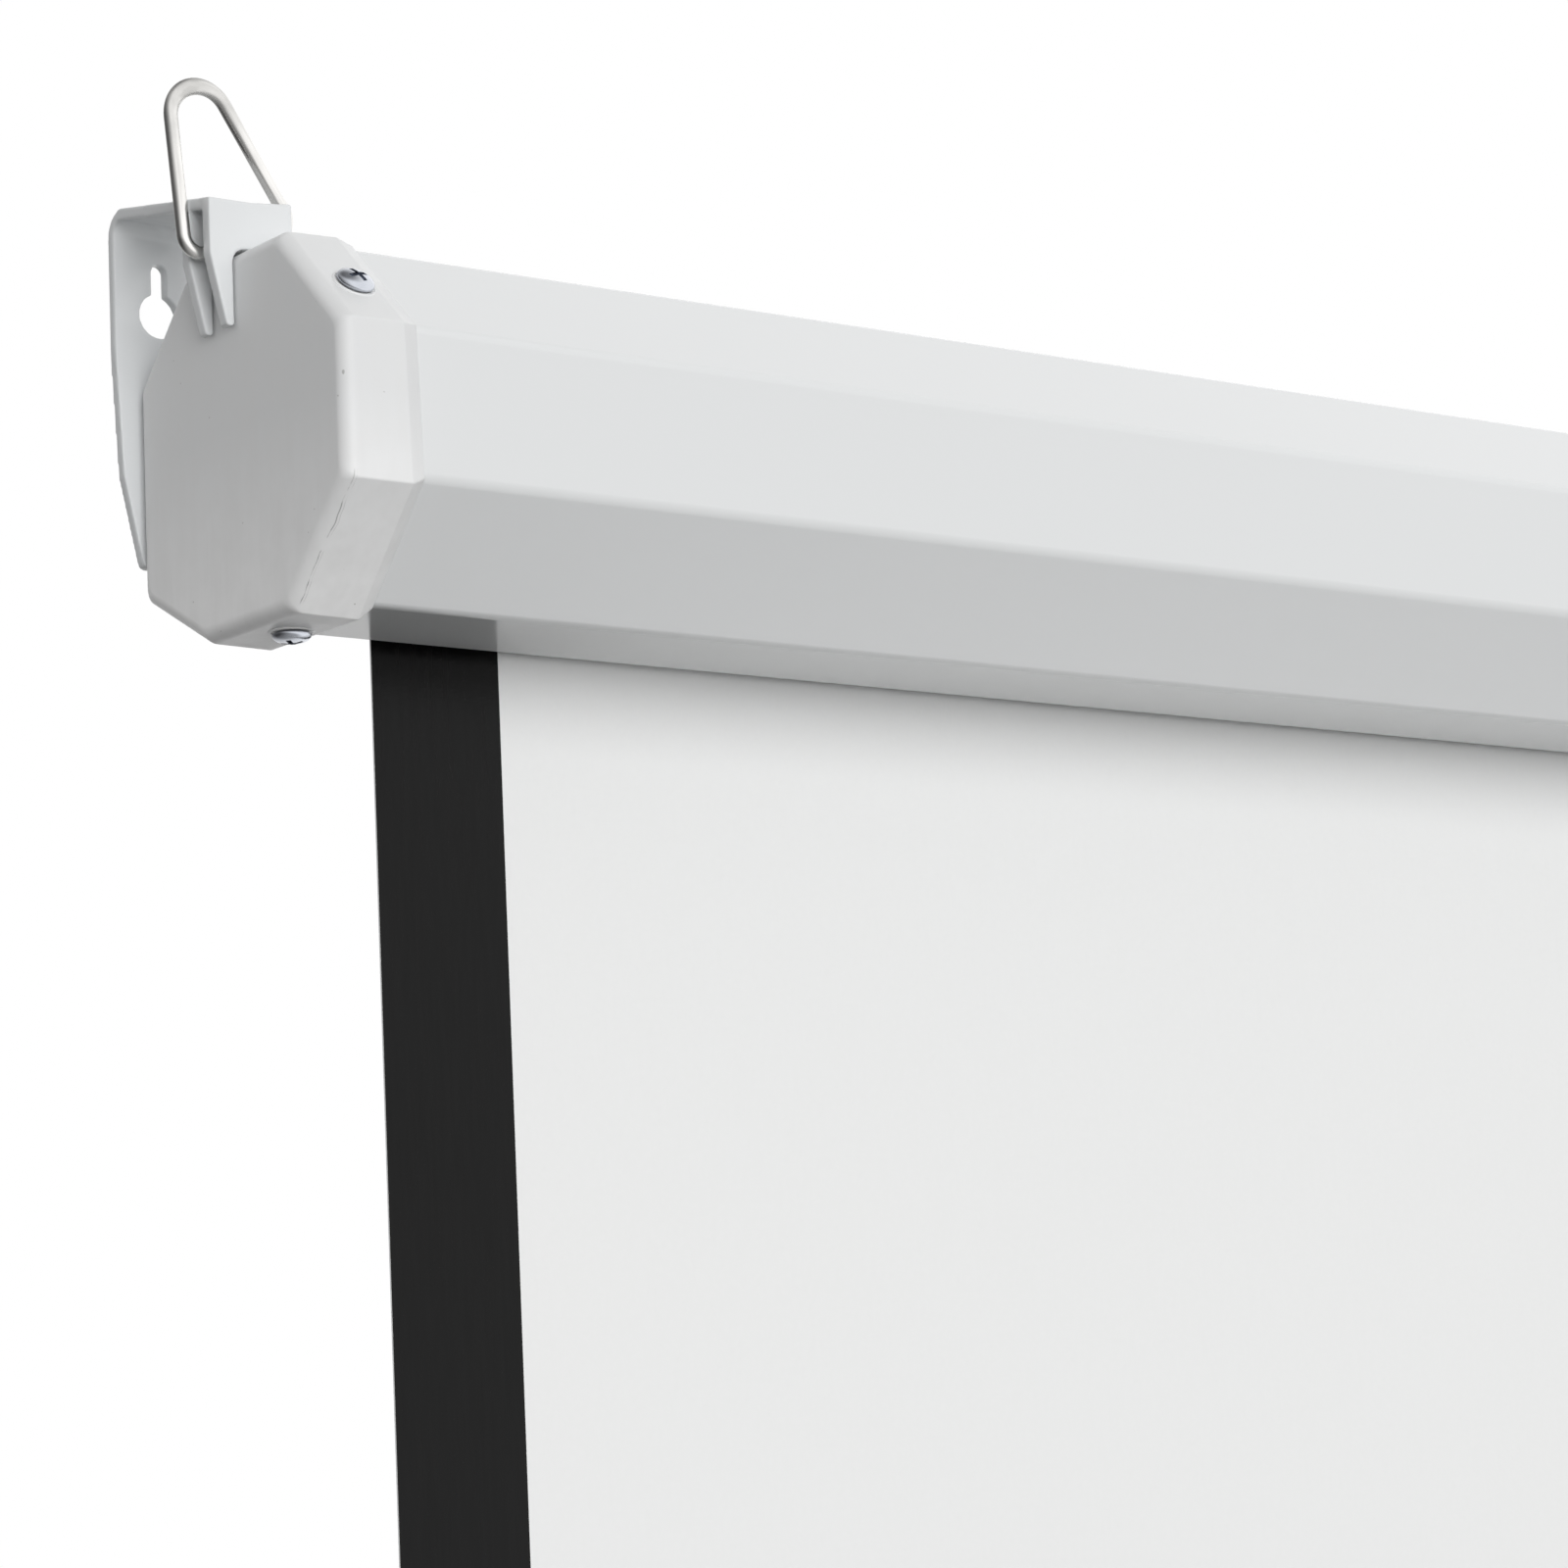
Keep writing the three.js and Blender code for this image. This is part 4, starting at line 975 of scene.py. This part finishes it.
def grip():
    """A soft sleeve on the handle's lower run, with finger grooves and rounded ends."""
    radius = (grip_high.z - grip_low.z) / 2
    length = grip_high.x - grip_low.x
    middle = Vector((0, CLOTH_Y, (grip_low.z + grip_high.z) / 2))
    profile = [(-length / 2, GRIP_BORE)]
    for step in range(GRIP_STEPS + 1):
        share = step / GRIP_STEPS
        from_end = min(share, 1 - share) * length
        rounding = radius * GRIP_END_REACH
        dip = GRIP_END_DIP * radius * max(0, 1 - from_end / rounding) ** 2
        groove = GROOVE_DEPTH * math.sin(math.pi * GRIP_GROOVES * share) ** 2
        profile.append(((share - 0.5) * length, radius - dip - groove))
    profile.append((length / 2, GRIP_BORE))
    return placed(turned_ring(profile, SMALL_ROUND), Matrix.Translation(middle))


# Screen cloth, bottom border and weight bar

def screen_cloth():
    """White in front with a black border down each side, white cut edges and a dark backing."""
    width, height = cloth_high.x - cloth_low.x, cloth_high.z - cloth_low.z
    bm = bmesh.new()
    bmesh.ops.create_grid(bm, x_segments=round(width / CLOTH_CELL), y_segments=round(height / CLOTH_CELL),
                          size=0.5)
    middle = Matrix.Translation((0, CLOTH_Y, (cloth_low.z + cloth_high.z) / 2))
    placed(bm, middle @ Matrix.Rotation(math.pi / 2, 4, "X") @ Matrix.Diagonal((width, height, 1, 1)))
    for side in (-1, 1):
        edge_x = side * (width / 2 - SIDE_BORDER)
        bmesh.ops.bisect_plane(bm, geom=[*bm.verts, *bm.edges, *bm.faces], dist=MERGE,
                               plane_co=(edge_x, 0, 0), plane_no=(1, 0, 0))
    bmesh.ops.solidify(bm, geom=list(bm.faces), thickness=CLOTH_THICKNESS)
    middle_y = sum(v.co.y for v in bm.verts) / len(bm.verts)
    bmesh.ops.translate(bm, vec=(0, CLOTH_Y - middle_y, 0), verts=bm.verts)
    closed_up(bm)
    for face in bm.faces:
        in_border = abs(face.calc_center_median().x) > width / 2 - SIDE_BORDER
        if face.normal.y > 0.5:
            face.material_index = 2
        elif face.normal.y < -0.5 and in_border:
            face.material_index = 1
    return bm


def bottom_border():
    """The black strip under the picture: round a bead at its foot, with a low weld line across its front."""
    front, back = CLOTH_Y - CLOTH_THICKNESS / 2, CLOTH_Y + CLOTH_THICKNESS / 2
    bead_z = hem_low.z + HEM_BEAD
    weld_z = BAR_Z + BAR_RADIUS + HEM_WELD
    outline = [Vector(corner) for corner in (
        (front, hem_high.z), (back, hem_high.z), (back, bead_z + HEM_BEAD), (CLOTH_Y + HEM_BEAD, bead_z),
        (CLOTH_Y, hem_low.z), (CLOTH_Y - HEM_BEAD, bead_z), (front, bead_z + HEM_BEAD),
        (front, weld_z), (front - WELD_PROUD, weld_z + WELD_HALF), (front, weld_z + 2 * WELD_HALF),
    )]
    bm = bmesh.new()
    made = bmesh.ops.extrude_edge_only(bm, edges=loop_at(bm, outline, hem_low.x))
    pulled_out(bm, made, (hem_high.x - hem_low.x, 0, 0))
    bmesh.ops.holes_fill(bm, edges=[e for e in bm.edges if len(e.link_faces) == 1], sides=0)
    return closed_up(bm)


def weight_bar_tube():
    """A tube slit along its top for the cloth."""
    half_slit = math.asin(BAR_SLIT_HALF / BAR_RADIUS)
    bm = bmesh.new()
    place = Vector((bar_low.x, CLOTH_Y, BAR_Z + BAR_RADIUS))
    outer = bm.verts.new(place)
    inner = bm.verts.new(place - Vector((0, 0, BAR_WALL)))
    wall = [outer, inner, bm.edges.new((outer, inner))]
    centre = (bar_low.x, CLOTH_Y, BAR_Z)
    bmesh.ops.rotate(bm, cent=centre, matrix=Matrix.Rotation(half_slit, 3, "X"), verts=[outer, inner])
    bmesh.ops.spin(bm, geom=wall, cent=centre, axis=X_AXIS, dvec=(0, 0, 0), steps=ROUND,
                   angle=2 * math.pi - 2 * half_slit, use_merge=False, use_normal_flip=False,
                   use_duplicate=False)
    made = bmesh.ops.extrude_face_region(bm, geom=list(bm.faces))
    pulled_out(bm, made, (bar_high.x - bar_low.x, 0, 0))
    return closed_up(bm)


def bar_plug():
    """A cap on the bar's left end, with a soft edge and a shallow dish in its face."""
    outer = (plug_high.z - plug_low.z) / 2
    inner = BAR_RADIUS - BAR_WALL - PLUG_GAP
    dish = outer * DISH_SHARE
    length = plug_high.x - plug_low.x
    profile = [
        (DISH_DEPTH, 0), (DISH_DEPTH, dish - DISH_SLOPE_HALF), (0, dish + DISH_SLOPE_HALF), (0, outer),
        (PLUG_WALL, outer), (PLUG_WALL, inner), (length, inner), (length, 0),
    ]
    bm = turned(profile)
    rim = [e for e in bm.edges if corner_angle(e) > 1 and all(abs(v.co.x) < ON_FACE for v in e.verts)]
    rounded_edges(bm, rim, PLUG_EASE)
    return placed(bm, Matrix.Translation((plug_low.x, CLOTH_Y, BAR_Z)))


def cloth_turns():
    """The cloth's last turns, always on the roller: a plain sleeve with eased ends."""
    inner, outer = (tube_high.z - tube_low.z) / 2 + TURNS_GAP, (turns_high.z - turns_low.z) / 2
    first, last = turns_low.x, turns_high.x
    profile = [(first, inner), (first, outer - TURNS_EASE), (first + TURNS_EASE, outer),
               (last - TURNS_EASE, outer), (last, outer - TURNS_EASE), (last, inner)]
    return placed(turned_ring(profile), Matrix.Translation((0, AXIS_Y, 0)))


# Dressing

def dress_case():
    add_piece("case_shell", case_shell(), CASE, "case_paint", ["housing_shell"])
    for side in SIDES:
        add_piece(f"{side}_cap", for_side(side, end_cap()), CASE, "cap_plastic", [f"{side}_end_cap"])
        arm = add_piece(f"{side}_wall_bracket", for_side(side, bracket()), CASE, "bracket_plastic",
                        [f"{side}_bracket"], weighted=False)
        moulded_soft(arm)
        add_piece(f"{side}_ring", for_side(side, hanging_ring()), f"{side}_ring", "ring_nickel",
                  [f"{side}_hanging_ring"], weighted=False)
        for name, (seat, direction) in cap_screw_places().items():
            screw = placed(cap_screw(RECESS_TURNS[name]), facing(direction, seat + direction * SCREW_GAP))
            add_piece(f"{side}_{name}_screw", for_side(side, screw), CASE, "screw_zinc",
                      [f"{side}_cap_screw_{name}"], weighted=False)
            ring = placed(screw_seat(), facing(direction, seat))
            add_piece(f"{side}_{name}_screw_seat", for_side(side, ring), CASE, "cap_plastic")


def dress_screen():
    cloth = add_piece("cloth", screen_cloth(), SCREEN, "screen_cloth", ["screen_fabric"],
                      more_finishes=[FINISHES["border_cloth"], cloth_backing()])
    border = add_piece("bottom_border_strip", bottom_border(), SCREEN, "border_cloth", ["fabric_hem"])
    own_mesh(cloth)
    add_piece("turns_on_roller", cloth_turns(), ROLLER, "screen_cloth", ["leader_wraps"])
    add_piece("weight_bar_tube", weight_bar_tube(), SCREEN, "case_paint", ["weight_bar"])
    for side in SIDES:
        add_piece(f"{side}_bar_end", for_side(side, bar_plug()), SCREEN, "cap_plastic", [f"{side}_bar_plug"])


def dress_handle():
    clip = add_piece("saddle_clip", saddle_clip(), SCREEN, "cap_plastic", ["handle_saddle"])
    clip.data.set_sharp_from_angle(angle=SADDLE_SHARP_ANGLE)
    add_piece("handle_bail", handle_bail(), HANDLE, "ring_nickel", ["pull_handle"], weighted=False)
    add_piece("grip_sleeve", grip(), HANDLE, "black_plastic", ["handle_grip"], weighted=False)


def dress_construction():
    """Gives every construction piece its finish, by its slot in the record."""
    slots = {row["node"]: row["material_slot"] for row in frame["record"]["subparts"]}
    for name, node in frame["nodes"].items():
        node.data.materials.clear()
        node.data.materials.append(FINISHES[slots[name]])


bpy.context.scene.view_settings.view_transform = "Standard"
camera()
white_room()
for lamp, (comes_from, strength, width) in LAMPS.items():
    soft_sun(lamp, comes_from, strength, width)
floor()
dress_construction()
dress_case()
dress_screen()
dress_handle()
